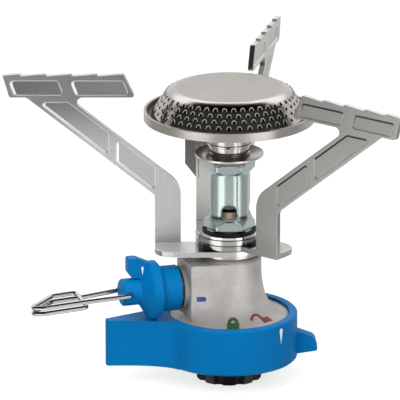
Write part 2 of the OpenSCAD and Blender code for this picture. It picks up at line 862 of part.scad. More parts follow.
// Teeth along the top of the bar, from its outer end inward
bar_teeth = [for (k = [tooth_count - 1:-1:0])
    let (
        inner = bar_in_top_r + k * tooth_pitch,
        outer = min(inner + tooth_pitch, reach_r)
    )
    each [
        [[outer, rest_z - tooth_depth * (outer - inner) / tooth_pitch], 0],
        [[inner, rest_z], 0]
    ]];

function arm_outline(level) = rounded(concat(
    [
        [[leg_in_r, level], 0],
        [[leg_out_r, level], 0],
        [[leg_out_r, knee_z], fillet_r],
        [[slant_end_r, bar_z], fillet_r],
        [[bar_out_low_r, bar_z], tip_r]
    ],
    bar_teeth,
    [
        [[bar_in_low_r, bar_z], tip_r],
        [[notch_r, bar_z], notch_fillet_r],
        [[leg_in_r, slant_at(leg_in_r) + slant_rise], bend_r]
    ]
));

// Pressed panels of the supports
bar_web_w = 4.7;
bar_web_r = slant_end_r - 15.3;
panel_low_z = bar_z + panel_rim * 0.7;
panel_top_z = rest_z - tooth_depth - panel_rim * 1.4;
slant_rim = panel_rim / cos(slant);
slant_web_r = (leg_out_r + slant_end_r) / 2 - 8.3;

// Panel of the bar between an inner and an outer distance at mid height
function bar_panel(inner, outer) =
    let (lean = 0.5 * (bar_in_lean + bar_out_lean) * (panel_top_z - panel_low_z) / bar_h / 2)
    rounded([
        [[inner - lean, panel_low_z], 1.2],
        [[outer - lean, panel_low_z], 1.2],
        [[outer + lean, panel_top_z], 1.2],
        [[inner + lean, panel_top_z], 1.2]
    ], 4);

// Panel of the slanted part between two distances, cut off level at a height
function slant_panel(inner, outer) = rounded([
    [[inner, slant_at(inner) + slant_rim], 1],
    [[outer, slant_at(outer) + slant_rim], 1],
    [[outer, slant_at(outer) + slant_rise - slant_rim], 1],
    [[inner, slant_at(inner) + slant_rise - slant_rim], 1]
], 4);

// Panel of the slanted part from a distance up to a level edge under the bar
slant_panel_top_z = bar_z - 1.8;
function top_panel(inner) = rounded([
    [[inner, slant_at(inner) + slant_rim], 1],
    [[leg_out_r + (slant_panel_top_z - slant_rim - knee_z) / tan(slant), slant_panel_top_z], 1],
    [[leg_out_r + (slant_panel_top_z + slant_rim - slant_rise - knee_z) / tan(slant), slant_panel_top_z], 1],
    [[inner, slant_at(inner) + slant_rise - slant_rim], 1]
], 4);

arm_panels = [
    bar_panel((bar_in_low_r + bar_in_top_r) / 2 + panel_rim, bar_web_r - bar_web_w / 2),
    bar_panel(bar_web_r + bar_web_w / 2, (bar_out_low_r + reach_r) / 2 - panel_rim - 0.8),
    slant_panel(leg_out_r - 0.2, slant_web_r - 1.5),
    top_panel(slant_web_r + 1.5)
];

module support_arm(level, az, shift) {
    color("#b5b7ba")
    rotate([0, 0, az])
    difference() {
        union() {
            translate([0, 0, level]) cylinder(r = eye_r, h = arm_t);
            translate([0, 0, level])
            linear_extrude(arm_t)
            polygon(rounded([
                [[0, shift - arm_t / 2], 0],
                [[leg_out_r, shift - arm_t / 2], 0],
                [[leg_out_r, shift + eye_r], foot_corner_r],
                [[0, shift + eye_r], 0]
            ]));
            translate([0, shift, 0]) upright(arm_t) polygon(arm_outline(level));
        }
        translate([0, 0, level - cut]) cylinder(r = bush_r + run_fit, h = arm_t + 2 * cut);
        for (panel = arm_panels, side = [-1, 1])
            translate([0, shift + side * (arm_t / 2 + cut / 2 - panel_depth / 2), 0])
            upright(panel_depth + cut) polygon(panel);
    }
}

module arm_left() { support_arm(eye_z[0], left_az, 0); }
module arm_right() { support_arm(eye_z[1], right_az, right_shift); }
module arm_rear() { support_arm(eye_z[2], rear_az, 0); }

// Rear bracket: upright strip and the flange beside it
strip_out = strip_side + strip_w;
strip_top_z = pan_z - bracket_gap;

module rear_bracket() {
    flange_top = strip_top_z - bracket_z;
    color("#9c9fa2")
    rotate([0, 0, face_turn])
    translate([0, 0, bracket_z])
    difference() {
        union() {
            cylinder(r = bracket_foot_r, h = bracket_t);
            translate([-strip_out, 0, 0]) cube([strip_w, strip_back + bracket_t, bracket_t]);
            translate([-strip_out, strip_back, 0]) cube([strip_w, bracket_t, flange_top]);
            translate([-strip_out, strip_back, 0])
            rotate([0, 0, -flange_bend])
            translate([0, bracket_t, 0])
            rotate([90, 0, 0])
            linear_extrude(bracket_t)
            polygon([
                [bracket_t, flange_top - flange_h - flange_w * 0.7],
                [bracket_t, flange_top],
                [-flange_w, flange_top],
                [-flange_w, flange_top - flange_h],
                [0, flange_top - flange_h - flange_w * 0.7]
            ]);
        }
        translate([0, 0, -cut]) cylinder(r = bush_r + seat_fit, h = bracket_t + 2 * cut);
    }
}

module tube_gasket() {
    color("#1c1c1c")
    tube(gasket_z, gasket_t, bush_r + seat_fit + gasket_w, bush_r + seat_fit);
}

module jet() {
    color("#c08a4e")
    difference() {
        rotate_extrude()
        polygon([
            [0, socket_floor_z - jet_thread_len],
            [jet_thread_r, socket_floor_z - jet_thread_len],
            [jet_thread_r, jet_z],
            [jet_r, jet_z],
            [jet_r, jet_top_z - 1],
            [jet_r - 1, jet_top_z],
            [0, jet_top_z]
        ]);
        translate([0, 0, socket_floor_z - jet_thread_len - cut])
        cylinder(r = gas_r, h = jet_top_z - socket_floor_z + jet_thread_len - 2 + cut);
        translate([0, 0, jet_top_z - 3]) cylinder(r = orifice_r, h = 3 + cut);
    }
}

module jet_seal() {
    color("#1c1c1c")
    tube(socket_floor_z, jet_seal_t, jet_r, jet_thread_r + seat_fit);
}

// Hex with its corners chamfered at the outer face, and a turned flare from its inner face to the barrel
module hex_collar(h, flare_h) {
    corner_r = hex_af / 2 / cos(30);
    chamfer = (corner_r - hex_af / 2) * tan(30);
    full_h = h + flare_h;
    flare_from = [corner_r + 0.1, h];
    flare_pull = [tube_r + 0.2, h + flare_h * 0.4];
    flare_to = [tube_r - 0.1, full_h];
    intersection() {
        rotate([0, 0, face_turn]) cylinder(r = corner_r, h = full_h, $fn = 6);
        rotate_extrude()
        polygon(concat(
            [[0, 0], [hex_af / 2, 0], [corner_r + 0.1, chamfer]],
            [for (i = [0:5]) curve(flare_from, flare_pull, flare_to, i / 5)],
            [[0, full_h]]
        ));
    }
}

module mixing_tube() {
    color("#c3cfce")
    difference() {
        union() {
            translate([0, 0, tube_foot_z]) cylinder(r = thread_r, h = pan_z - tube_foot_z);
            translate([0, 0, low_hex_z]) cylinder(r = tube_r, h = cup_z - low_hex_z);
            translate([0, 0, low_hex_z]) hex_collar(low_hex_h, low_flare_h);
            translate([0, 0, cup_z]) mirror([0, 0, 1]) hex_collar(top_hex_h, top_flare_h);
        }
        translate([0, 0, tube_foot_z - cut]) cylinder(r = tube_bore_r, h = pan_z - tube_foot_z + 2 * cut);
        around(air_holes, face_turn - 90)
        translate([0, 0, air_hole_z]) rotate([0, 90, 0]) cylinder(r = air_hole_r, h = hex_af);
    }
}

module flame_cup() {
    flat_r = tube_r + 1;
    color("#a7a6a3")
    rotate_extrude()
    polygon([
        [thread_r + seat_fit, cup_z],
        [flat_r, cup_z],
        [cup_r, cup_z + cup_rise - cup_t],
        [cup_r, cup_z + cup_rise],
        [flat_r, cup_z + cup_t],
        [thread_r + seat_fit, cup_z + cup_t]
    ]);
}

module neck_nut() {
    groove = 0.5;
    color("#a3a5a6")
    rotate_extrude()
    polygon([
        [thread_r + seat_fit, nut_z],
        [nut_r, nut_z],
        [nut_r, nut_z + nut_h * 0.4],
        [nut_r - groove, nut_z + nut_h * 0.45],
        [nut_r - groove, nut_z + nut_h * 0.55],
        [nut_r, nut_z + nut_h * 0.6],
        [nut_r, nut_z + nut_h],
        [thread_r + seat_fit, nut_z + nut_h]
    ]);
}

module lock_washer() {
    color("#8d8e8f")
    difference() {
        tube(lock_z, lock_washer_t, lock_washer_r, thread_r + seat_fit);
        rotate([0, 0, face_turn - 93])
        translate([0, -lock_split / 2, lock_z - cut])
        cube([lock_washer_r + cut, lock_split, lock_washer_t + 2 * cut]);
    }
}

module burner_neck() {
    collar_h = pan_wall * 1.6;
    color("#a9a8a6")
    rotate_extrude()
    polygon([
        [thread_r + seat_fit, burner_neck_z],
        [burner_neck_r, burner_neck_z],
        [burner_neck_r, pan_z],
        [pan_hole_r - seat_fit, pan_z],
        [pan_hole_r - seat_fit, pan_z + collar_h],
        [thread_r + seat_fit, pan_z + collar_h]
    ]);
}

module burner_pan() {
    ledge_r = pan_r - pan_ledge_w - pan_wall;
    color("#a9a7a3")
    rotate_extrude()
    polygon([
        [pan_hole_r, pan_z],
        [burner_neck_r + 1, pan_z],
        [ledge_r, rim_z],
        [pan_r, rim_z],
        [pan_r, rim_z + pan_rim_h],
        [pan_r - pan_wall, rim_z + pan_rim_h],
        [pan_r - pan_wall, ledge_z],
        [ledge_r - pan_wall / 2, ledge_z],
        [burner_neck_r + 1 - pan_wall / 2, pan_z + pan_wall],
        [pan_hole_r, pan_z + pan_wall]
    ]);
}

// Cone of the burner cap, and the way that it faces
cone_run = cap_foot_r - cap_top_r;
cone_tilt = atan2(cone_run, cap_h);

module burner_cap() {
    crown_r = (cap_top_r * cap_top_r + cap_crown * cap_crown) / (2 * cap_crown);
    dome = [for (i = [0:12])
        let (r = cap_top_r * i / 12)
        [r, crown_z - crown_r + sqrt(crown_r * crown_r - r * r)]];
    cone_foot = [cap_foot_r, cone_z];
    inner_foot = [cap_foot_r - cap_wall, cone_z - 0.2];
    lower_dome = [for (i = [0:12])
        [dome[i][0] * (1 - cap_wall * 0.7 / cap_top_r), dome[i][1] - cap_wall]];
    color("#c0bebb")
    difference() {
        rotate_extrude()
        polygon(concat(
            [for (i = [0:8]) dome[i]],
            corner(dome[8], dome[12], cone_foot, cap_edge_r, 8),
            [
                cone_foot,
                [cap_foot_r, ledge_z],
                [cap_foot_r - cap_wall, ledge_z],
                inner_foot
            ],
            corner(inner_foot, lower_dome[12], lower_dome[8], cap_edge_r - cap_wall, 8),
            [for (i = [8:-1:0]) lower_dome[i]]
        ));
        // Flame ports, each row half a step round from the last
        for (row = [0:port_rows - 1])
            let (part = (row + 1.15) / (port_rows + 1.2))
            around(port_count, (row % 2) * 180 / port_count)
            translate([cap_top_r + cone_run * part, 0, cap_edge_z - cap_h * part])
            rotate([0, 90 - cone_tilt, 0])
            cylinder(r = port_r, h = 4 * cap_wall, center = true, $fn = 16);
    }
}

body_casting();
inlet_probe();
inlet_seal();
gas_filter();
clip_ring();
clip_screws();
lever_ring();
ring_stop_pin();
valve_seat();
spindle();
spindle_seal();
gland_nut();
knob();
wire_handle();
pivot_bush();
base_washer();
arm_left();
arm_right();
arm_rear();
rear_bracket();
tube_gasket();
jet();
jet_seal();
mixing_tube();
flame_cup();
neck_nut();
lock_washer();
burner_neck();
burner_pan();
burner_cap();
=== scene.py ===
import math
import bmesh
import bpy
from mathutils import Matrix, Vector
from mathutils.bvhtree import BVHTree


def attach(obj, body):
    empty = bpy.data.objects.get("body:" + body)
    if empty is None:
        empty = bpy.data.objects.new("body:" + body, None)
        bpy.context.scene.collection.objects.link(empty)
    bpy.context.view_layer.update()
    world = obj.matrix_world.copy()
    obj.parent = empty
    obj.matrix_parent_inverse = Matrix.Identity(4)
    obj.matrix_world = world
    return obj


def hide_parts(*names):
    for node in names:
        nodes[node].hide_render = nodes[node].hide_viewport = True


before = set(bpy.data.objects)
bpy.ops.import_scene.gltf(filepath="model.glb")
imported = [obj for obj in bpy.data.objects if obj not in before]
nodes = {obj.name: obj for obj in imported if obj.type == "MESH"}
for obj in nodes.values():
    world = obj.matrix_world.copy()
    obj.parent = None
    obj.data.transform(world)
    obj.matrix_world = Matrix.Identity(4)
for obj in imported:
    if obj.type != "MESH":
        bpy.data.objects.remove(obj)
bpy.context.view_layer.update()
scene = bpy.context.scene
MM = 0.001
STRAIGHT_UP = Vector((0, 0, 1))

# Camera at the photograph's viewing angle
CAMERA_AIM = Vector((-10.53, 3.32, 69.97)) * MM
CAMERA_AZIMUTH = math.radians(-17.5)
CAMERA_ELEVATION = math.radians(17.29)
CAMERA_DISTANCE = 2.1363
LENS_MM = 508.7
SENSOR_MM = 36
PICTURE_PIXELS = 400
camera_front = Vector((math.sin(CAMERA_AZIMUTH), -math.cos(CAMERA_AZIMUTH), 0))
camera_right = Vector((math.cos(CAMERA_AZIMUTH), math.sin(CAMERA_AZIMUTH), 0))
towards_camera = Vector((
    math.sin(CAMERA_AZIMUTH) * math.cos(CAMERA_ELEVATION),
    -math.cos(CAMERA_AZIMUTH) * math.cos(CAMERA_ELEVATION),
    math.sin(CAMERA_ELEVATION),
))
camera_up = towards_camera.cross(camera_right)
camera_data = bpy.data.cameras.new("camera")
camera_data.sensor_width = SENSOR_MM
camera_data.lens = LENS_MM
camera_data.clip_start = 0.01
camera_data.clip_end = 30
camera = bpy.data.objects.new("camera", camera_data)
camera.location = CAMERA_AIM + towards_camera * CAMERA_DISTANCE
camera.rotation_euler = (-towards_camera).to_track_quat("-Z", "Y").to_euler()
scene.collection.objects.link(camera)
scene.camera = camera
scene.view_settings.view_transform = "Standard"


def linear(hex_colour):
    """An sRGB hex colour as the linear colour that shaders take."""
    channels = [int(hex_colour[i:i + 2], 16) / 255 for i in (1, 3, 5)]
    return tuple(c / 12.92 if c <= 0.04045 else ((c + 0.055) / 1.055) ** 2.4 for c in channels) + (1,)


def add(tree, kind, inputs=None, **settings):
    """Adds a node with its settings. Each input is a value, or a socket to link."""
    node = tree.nodes.new(kind)
    for name, value in settings.items():
        setattr(node, name, value)
    for name, value in (inputs or {}).items():
        if isinstance(value, bpy.types.NodeSocket):
            tree.links.new(value, node.inputs[name])
        else:
            node.inputs[name].default_value = value
    return node


def arithmetic(tree, operation, *values, **settings):
    """One step of arithmetic on values or sockets."""
    return add(tree, "ShaderNodeMath", dict(enumerate(values)), operation=operation, **settings).outputs[0]


def ramp(tree, value, start, end, low=0.0, high=1.0, **settings):
    """Goes from low to high as the value goes from start to end, and is held beyond them."""
    return add(tree, "ShaderNodeMapRange", {
        "Value": value, "From Min": start, "From Max": end, "To Min": low, "To Max": high,
    }, **settings).outputs[0]


def ramp_mm(tree, value, span, low=0.0, high=1.0, **settings):
    """A ramp from the start to the end of a span in millimetres."""
    return ramp(tree, value, span[0] * MM, span[1] * MM, low, high, **settings)


def spread(tree, value, low, high):
    """Spreads a value of 0 to 1 over low to high."""
    return ramp(tree, value, 0.0, 1.0, low, high)


def blend(tree, amount, first, second):
    """Goes from a first to a second colour, each given in hex or as a socket."""
    colours = [linear(colour) if isinstance(colour, str) else colour for colour in (first, second)]
    return add(tree, "ShaderNodeMix", {0: amount, 6: colours[0], 7: colours[1]}, data_type="RGBA").outputs[2]


def between(tree, amount, first, second):
    """Goes from a first to a second value."""
    return add(tree, "ShaderNodeMix", {0: amount, 2: first, 3: second}, data_type="FLOAT").outputs[0]


def split(tree, vector):
    """The outputs X, Y and Z of a vector."""
    return add(tree, "ShaderNodeSeparateXYZ", {0: vector}).outputs


def dot(tree, first, second):
    """How far the first vector goes along the second."""
    return add(tree, "ShaderNodeVectorMath", {0: first, 1: second}, operation="DOT_PRODUCT").outputs["Value"]


def axis_distance(tree, spot):
    """Distance of a place from the burner's vertical axis."""
    level = add(tree, "ShaderNodeVectorMath", {0: spot, 1: (1, 1, 0)}, operation="MULTIPLY")
    return add(tree, "ShaderNodeVectorMath", {0: level.outputs[0]}, operation="LENGTH").outputs["Value"]


def stretched(tree, spot, scale):
    """A place scaled along each axis, so that a pattern on it is drawn out."""
    return add(tree, "ShaderNodeMapping", {"Vector": spot, "Scale": scale}).outputs[0]


def turned_back(tree, normal, azimuth):
    """A surface normal seen from a frame whose x runs along the azimuth, in degrees."""
    turn = (0, 0, -math.radians(azimuth))
    turned = add(tree, "ShaderNodeMapping", {"Vector": normal, "Rotation": turn}, vector_type="NORMAL")
    return turned.outputs[0]


def per_metre(size):
    """Noise scale that gives grains about this many millimetres across."""
    return 1 / (size * MM)


def noise(tree, spot, size, detail, roughness=0.5):
    """Noise with grains about this many millimetres across."""
    return add(tree, "ShaderNodeTexNoise", {
        "Vector": spot, "Scale": per_metre(size), "Detail": detail, "Roughness": roughness,
    }).outputs["Fac"]


def bumpy(tree, height, strength, depth, edge, samples):
    """Surface normal with bumps of this depth and edges that look rounded by this radius, in millimetres."""
    bevel = add(tree, "ShaderNodeBevel", {"Radius": edge * MM}, samples=samples)
    return add(tree, "ShaderNodeBump", {
        "Strength": strength, "Distance": depth * MM, "Height": height, "Normal": bevel.outputs[0],
    }).outputs[0]


def new_material(name):
    """An empty material, its tree and the outputs that give coordinates."""
    material = bpy.data.materials.new(name)
    material.use_nodes = True
    tree = material.node_tree
    tree.nodes.clear()
    return material, tree, add(tree, "ShaderNodeTexCoord").outputs


def surface(tree, shader):
    """Links a shader to the material's output."""
    add(tree, "ShaderNodeOutputMaterial", {"Surface": shader.outputs[0]})


def shade(tree, inputs):
    """Ends a material with a Principled shader."""
    surface(tree, add(tree, "ShaderNodeBsdfPrincipled", inputs))


def dress(material, *names):
    """Gives CAD nodes a material in all their slots."""
    for name in names:
        data = nodes[name].data
        if not data.materials:
            data.materials.append(material)
        for index in range(len(data.materials)):
            data.materials[index] = material


# Height of the valve's axis, and the spans over which the painted shade changes, in millimetres
VALVE_Z = 37.4
PLATE_SHADE_Z = (47.4, 49.6)
KNOB_SHADE_R = (5.0, 10.2)
BOSS_FACE_X = (-17.9, -17.7)
FLARE_SHADE_Z = (26, 31)
# Aluminium, die cast and tumbled: matt warm grey with fine pebble grain, and painted shade under the foot
# plate, round the knob and at the flare's root
cast_aluminium, tree, place = new_material("aluminium_die_cast_tumbled")
pebble = noise(tree, place["Object"], size=0.55, detail=4.0, roughness=0.65)
cloud = noise(tree, place["Object"], size=9, detail=2.0)
tone = ramp(tree, arithmetic(tree, "ADD", pebble, cloud), 0.7, 1.3)
spot = split(tree, place["Object"])
# Painted shade: the body darkens just under the foot plate, where the plate's shadow falls
under_plate = ramp_mm(tree, spot["Z"], PLATE_SHADE_Z, 0.0, 0.8)
along_valve = add(tree, "ShaderNodeVectorMath", {0: place["Object"], 1: (1, 0, 0)}, operation="PROJECT")
off_valve = add(tree, "ShaderNodeVectorMath", {
    0: place["Object"], 1: along_valve.outputs[0],
}, operation="SUBTRACT")
valve_distance = add(tree, "ShaderNodeVectorMath", {
    0: off_valve.outputs[0], 1: (0, 0, VALVE_Z * MM),
}, operation="DISTANCE")
# Painted shade: a dark ring on the boss face round the knob, where the knob's shadow falls into the gap
near_valve = ramp_mm(tree, valve_distance.outputs["Value"], KNOB_SHADE_R, 0.95, 0.12)
on_boss_face = ramp_mm(tree, spot["X"], BOSS_FACE_X, 1.0, 0.0)
knob_gap = arithmetic(tree, "MULTIPLY", near_valve, on_boss_face)
# Painted shade and dark reflection: the body below the flare's root is darkened a little
flare_root = ramp_mm(tree, spot["Z"], FLARE_SHADE_Z, 0.24, 0.0)
painted_shade = arithmetic(tree, "MAXIMUM", arithmetic(tree, "MAXIMUM", under_plate, knob_gap), flare_root)
shade(tree, {
    "Base Color": blend(tree, painted_shade, blend(tree, tone, "#B9B4B0", "#D6D2CE"), "#2E2B28"),
    "Metallic": 0.55, "Roughness": 0.56,
    "Normal": bumpy(tree, pebble, strength=0.5, depth=0.12, edge=0.5, samples=6),
})

# ABS, moulded blue: even satin colour with a soft sheen and a faint moulded ripple
blue_abs, tree, place = new_material("abs_blue_moulded")
ripple = noise(tree, place["Object"], size=6, detail=3.0)
fine_grain = noise(tree, place["Object"], size=0.4, detail=2.0)
shade(tree, {
    "Base Color": blend(tree, ripple, "#0068A6", "#0074B4"),
    "Roughness": spread(tree, fine_grain, 0.4, 0.54), "IOR": 1.5, "Specular IOR Level": 0.08,
    "Normal": bumpy(tree, fine_grain, strength=0.18, depth=0.08, edge=0.45, samples=6),
})

# Nylon with glass fibre, moulded black: near black, dull, with a faint grey speckle
black_nylon, tree, place = new_material("nylon_black_moulded")
speckle = noise(tree, place["Object"], size=0.7, detail=5.0, roughness=0.7)
shade(tree, {
    "Base Color": blend(tree, speckle, "#030304", "#0D0D0E"), "Roughness": 0.5, "IOR": 1.53,
    "Specular IOR Level": 0.2,
    "Normal": bumpy(tree, speckle, strength=0.3, depth=0.08, edge=0.3, samples=4),
})


# Spans of a support over which its finish changes, in millimetres out, through the sheet and up
EYE_EDGE_X = (15, 16)
BAR_SHADE_X = (42, 80)
PANEL_FLOOR_Y = (0.62, 0.92)
FOOT_TOP_Z = (57, 64)
BAR_SHADE_Z = (87, 111)


def plated_sheet(name, azimuth, shift, rim, panel, bar_rim, bar_panel, sheen, leg_grain, edge_highlight_level):
    """Steel sheet, pressed and nickel plated: bright feet, satin rims, sunk panels that the die left grainy.

    Each pair of colours is the dark and the pale end of the grain. The pattern is turned so that its x runs
    out along the support and its y through the sheet, from its middle. A painted highlight makes the edges
    pale.
    """
    material, tree, place = new_material(name)
    along = add(tree, "ShaderNodeMapping", {
        "Vector": place["Object"], "Rotation": (0, 0, -math.radians(azimuth)),
        "Location": (0, -shift * MM, 0),
    }).outputs[0]
    spot = split(tree, along)
    face = split(tree, turned_back(tree, place["Normal"], azimuth))

    # Where on the support a place lies
    sunk = ramp_mm(tree, arithmetic(tree, "ABSOLUTE", spot["Y"]), PANEL_FLOOR_Y, 1.0, 0.0)
    flat = ramp(tree, arithmetic(tree, "ABSOLUTE", face["Y"]), 0.5, 0.9)
    upper = ramp_mm(tree, spot["Z"], FOOT_TOP_Z)
    in_panel = arithmetic(tree, "MULTIPLY", arithmetic(tree, "MULTIPLY", sunk, flat), upper)
    in_bar = ramp_mm(tree, spot["Z"], BAR_SHADE_Z, interpolation_type="SMOOTHSTEP")
    off_eye = ramp_mm(tree, spot["X"], EYE_EDGE_X)
    lying = arithmetic(tree, "MULTIPLY", ramp(tree, face["Z"], 0.7, 0.95), off_eye)
    leg = arithmetic(tree, "MULTIPLY", flat, off_eye)
    edgewise = arithmetic(tree, "SUBTRACT", off_eye, leg)
    foot_edge = arithmetic(tree, "SUBTRACT", edgewise, upper, use_clamp=True)
    # Painted highlight: where the bevel rounds an edge, the colour turns pale as if the edge caught the
    # light
    round_edge = add(tree, "ShaderNodeBevel", {"Radius": 0.7 * MM}, samples=8)
    own_normal = add(tree, "ShaderNodeNewGeometry").outputs["Normal"]
    edge_highlight = ramp(tree, dot(tree, round_edge.outputs[0], own_normal), 0.82, 0.97, edge_highlight_level, 0.0)

    # Colour: the bar's panels get darker outwards
    grain = noise(tree, along, size=0.6, detail=5.0, roughness=0.75)
    pits = ramp(tree, grain, 0.25, 0.75)
    outward = ramp_mm(tree, spot["X"], BAR_SHADE_X, 0.4, -0.2)
    bar_pits = arithmetic(tree, "ADD", pits, outward)
    rim_colour = blend(tree, in_bar, blend(tree, pits, *rim), blend(tree, pits, *bar_rim))
    panel_colour = blend(tree, in_bar, blend(tree, pits, *panel), blend(tree, bar_pits, *bar_panel))
    colour = blend(tree, in_panel, rim_colour, panel_colour)
    colour = blend(tree, foot_edge, colour, "#A3A3A2")
    colour = blend(tree, lying, colour, blend(tree, pits, "#C4C3C0", "#D6D5D2"))
    # Painted highlight on the edges
    colour = blend(tree, edge_highlight, colour, "#F2F2F1")

    # Sheen: lying faces and the edges with the painted highlight are matt, so that they don't mirror a dark
    # room
    matt = arithmetic(tree, "MAXIMUM", arithmetic(tree, "MAXIMUM", lying, foot_edge), edge_highlight)
    rough_leg = arithmetic(tree, "MULTIPLY", leg, leg_grain)
    rough_low = arithmetic(tree, "MAXIMUM", edgewise, rough_leg)
    grained = arithmetic(tree, "MAXIMUM", upper, rough_low)
    pit_depth = spread(tree, grained, 0.03, 0.3)
    shade(tree, {
        "Base Color": colour, "Metallic": spread(tree, matt, 1.0, 0.3),
        "Roughness": spread(tree, grained, 0.16, sheen),
        "Normal": bumpy(tree, grain, strength=pit_depth, depth=0.1, edge=0.35, samples=6),
    })
    return material


# Direction of each support in degrees, and how far its upright stands to the side in millimetres
LEFT_TURN = (162.5, 0)
RIGHT_TURN = (303.7, -5.7)
REAR_TURN = (59.3, 0)
left_sheet = plated_sheet(
    "steel_sheet_pressed_left", *LEFT_TURN, rim=("#BDBDBD", "#E0E0E0"), panel=("#B0B0AF", "#DCDCDB"),
    bar_rim=("#7E7E7C", "#9C9C9A"), bar_panel=("#626261", "#969695"), sheen=0.4, leg_grain=1.0, edge_highlight_level=0.9)
right_sheet = plated_sheet(
    "steel_sheet_pressed_right", *RIGHT_TURN, rim=("#A2A19D", "#B0AFAB"), panel=("#A2A19C", "#AFAEA9"),
    bar_rim=("#9A9995", "#A8A7A3"), bar_panel=("#969590", "#A4A39F"), sheen=0.28, leg_grain=0.0, edge_highlight_level=0.0)
rear_sheet = plated_sheet(
    "steel_sheet_pressed_rear", *REAR_TURN, rim=("#B4B2AE", "#C4C2BE"), panel=("#ACAAA6", "#BCBAB6"),
    bar_rim=("#B4B2AE", "#C4C2BE"), bar_panel=("#ACAAA6", "#BCBAB6"), sheen=0.28, leg_grain=0.0, edge_highlight_level=0.0)


def worn_edge_and_shade(name, dark, pale, metal, azimuth=0, rest=None):
    """Steel at a rolled or punched edge, rubbed matt: a pale line where the edge turns to the light.

    With a colour for the rest, only edges that look back along the azimuth stay pale, as a painted
    highlight, and overhung ones are painted black as shade.
    """
    material, tree, place = new_material(name)
    rub = noise(tree, place["Object"], size=0.8, detail=3.0)
    colour = blend(tree, rub, dark, pale)
    if rest:
        face = split(tree, turned_back(tree, place["Normal"], azimuth))
        # Painted highlight and shade: faces that look inward take the rest colour, faces that point down
        # turn black
        inward = ramp(tree, face["X"], -0.45, -0.2, 1.0, 0.0)
        overhung = ramp(tree, face["Z"], -0.3, -0.15, 1.0, 0.0)
        colour = blend(tree, overhung, blend(tree, inward, rest, colour), "#1D1B19")
    shade(tree, {"Base Color": colour, "Metallic": metal, "Roughness": spread(tree, rub, 0.26, 0.4)})
    return material


rolled_edge = worn_edge_and_shade("steel_sheet_rolled_edge", "#D2D2D1", "#EAEAE9", metal=0.85)
# The right support's edges: painted highlight on those that look back along it, painted shade on those that
# face down
overhung_edge = worn_edge_and_shade(
    "steel_sheet_rolled_edge_right", "#D2D2D1", "#EAEAE9", metal=0.2, azimuth=RIGHT_TURN[0], rest="#9C9B96")
punched_edge = worn_edge_and_shade("stainless_steel_punched_edge", "#B9B4AF", "#D2CDC8", metal=0.5)

# Steel wire, drawn and bright: narrow highlights along the wire, faint drawing streaks, and painted shade on
# its underside
drawn_wire, tree, place = new_material("steel_wire_drawn")
streak = noise(tree, stretched(tree, place["Object"], (0.06, 1, 1)), size=0.35, detail=3.0)
# Painted shade: faces that point down turn dark grey
wire_painted_shade = ramp(tree, split(tree, place["Normal"])["Z"], -0.8, -0.4, 1.0, 0.0)
shade(tree, {
    "Base Color": blend(tree, wire_painted_shade, blend(tree, streak, "#A2A2A3", "#C8C8C8"), "#4A4A4A"),
    "Metallic": 1.0, "Roughness": spread(tree, streak, 0.14, 0.28),
})

# Radii over which the painted shade in the mixing tube's bore gives way to the plating, in millimetres
TUBE_BORE_R = (5.4, 7.2)
# Steel, turned and zinc plated: mirror bands with a pale blue-green tint, and painted shade in the bore
zinc_plate, tree, place = new_material("steel_turned_zinc_plated")
tint = noise(tree, place["Object"], size=11, detail=2.0)
# Painted shade: the bore is near black
past_bore = ramp_mm(tree, axis_distance(tree, place["Object"]), TUBE_BORE_R)
turning = noise(tree, stretched(tree, place["Object"], (0.02, 0.02, 1)), size=0.3, detail=2.0)
shade(tree, {
    "Base Color": blend(tree, past_bore, "#120F0D", blend(tree, tint, "#A4B4B1", "#B9C4C0")),
    "Metallic": ramp(tree, split(tree, place["Normal"])["Z"], 0.25, 0.5, 1.0, 0.55),
    "Roughness": spread(tree, turning, 0.1, 0.26),
    "Normal": bumpy(tree, turning, strength=0.06, depth=0.03, edge=1.4, samples=12),
})


def stainless(name, dark, pale, inside, dark_inside_r, smooth, dull):
    """Stainless steel, spun or turned: warm grey, fine rings round the axis, a darker colour inside a
    radius.
    """
    material, tree, place = new_material(name)
    radius = axis_distance(tree, place["Object"])
    ring_place = arithmetic(tree, "ADD", radius, split(tree, place["Object"])["Z"])
    rings = add(tree, "ShaderNodeTexNoise", {
        "W": ring_place, "Scale": per_metre(0.5), "Detail": 4.0, "Roughness": 0.6,
    }, noise_dimensions="1D").outputs["Fac"]
    handled = noise(tree, place["Object"], size=8, detail=3.0)
    outside = ramp_mm(tree, radius, (dark_inside_r - 0.1, dark_inside_r))
    shade(tree, {
        "Base Color": blend(tree, outside, inside, blend(tree, handled, dark, pale)),
        "Metallic": spread(tree, outside, 0.4, 1.0), "Roughness": spread(tree, rings, smooth, dull),
        "Normal": bumpy(tree, rings, strength=0.1, depth=0.03, edge=0.3, samples=6),
    })
    return material


# The pan's darker inside, within the rim, is painted shade in the groove round the cap
spun_steel = stainless(
    "stainless_steel_spun_satin", "#A29C97", "#BFB9B3", "#6E665F", dark_inside_r=31.35, smooth=0.26, dull=0.42)
bright_steel = stainless(
    "stainless_steel_turned_bright", "#ABA5A0", "#C4BEB8", "#9A928B", dark_inside_r=7, smooth=0.1, dull=0.2)
cup_steel = stainless(
    "stainless_steel_pressed_cup", "#C6C0BA", "#DCD6D0", "#9A928B", dark_inside_r=7, smooth=0.24, dull=0.36)

# Direction across the rear strip, and the spans over which its finish and its painted shade change, in
# millimetres
STRIP_TURN = math.radians(-17.5)
STRIP_FLANGE_X = (-12.7, -12.4)
STRIP_FOOT_Z = (58.62, 58.75)
STRIP_HEAT_Z = (80, 88)
strip_across = (math.cos(STRIP_TURN), math.sin(STRIP_TURN), 0)
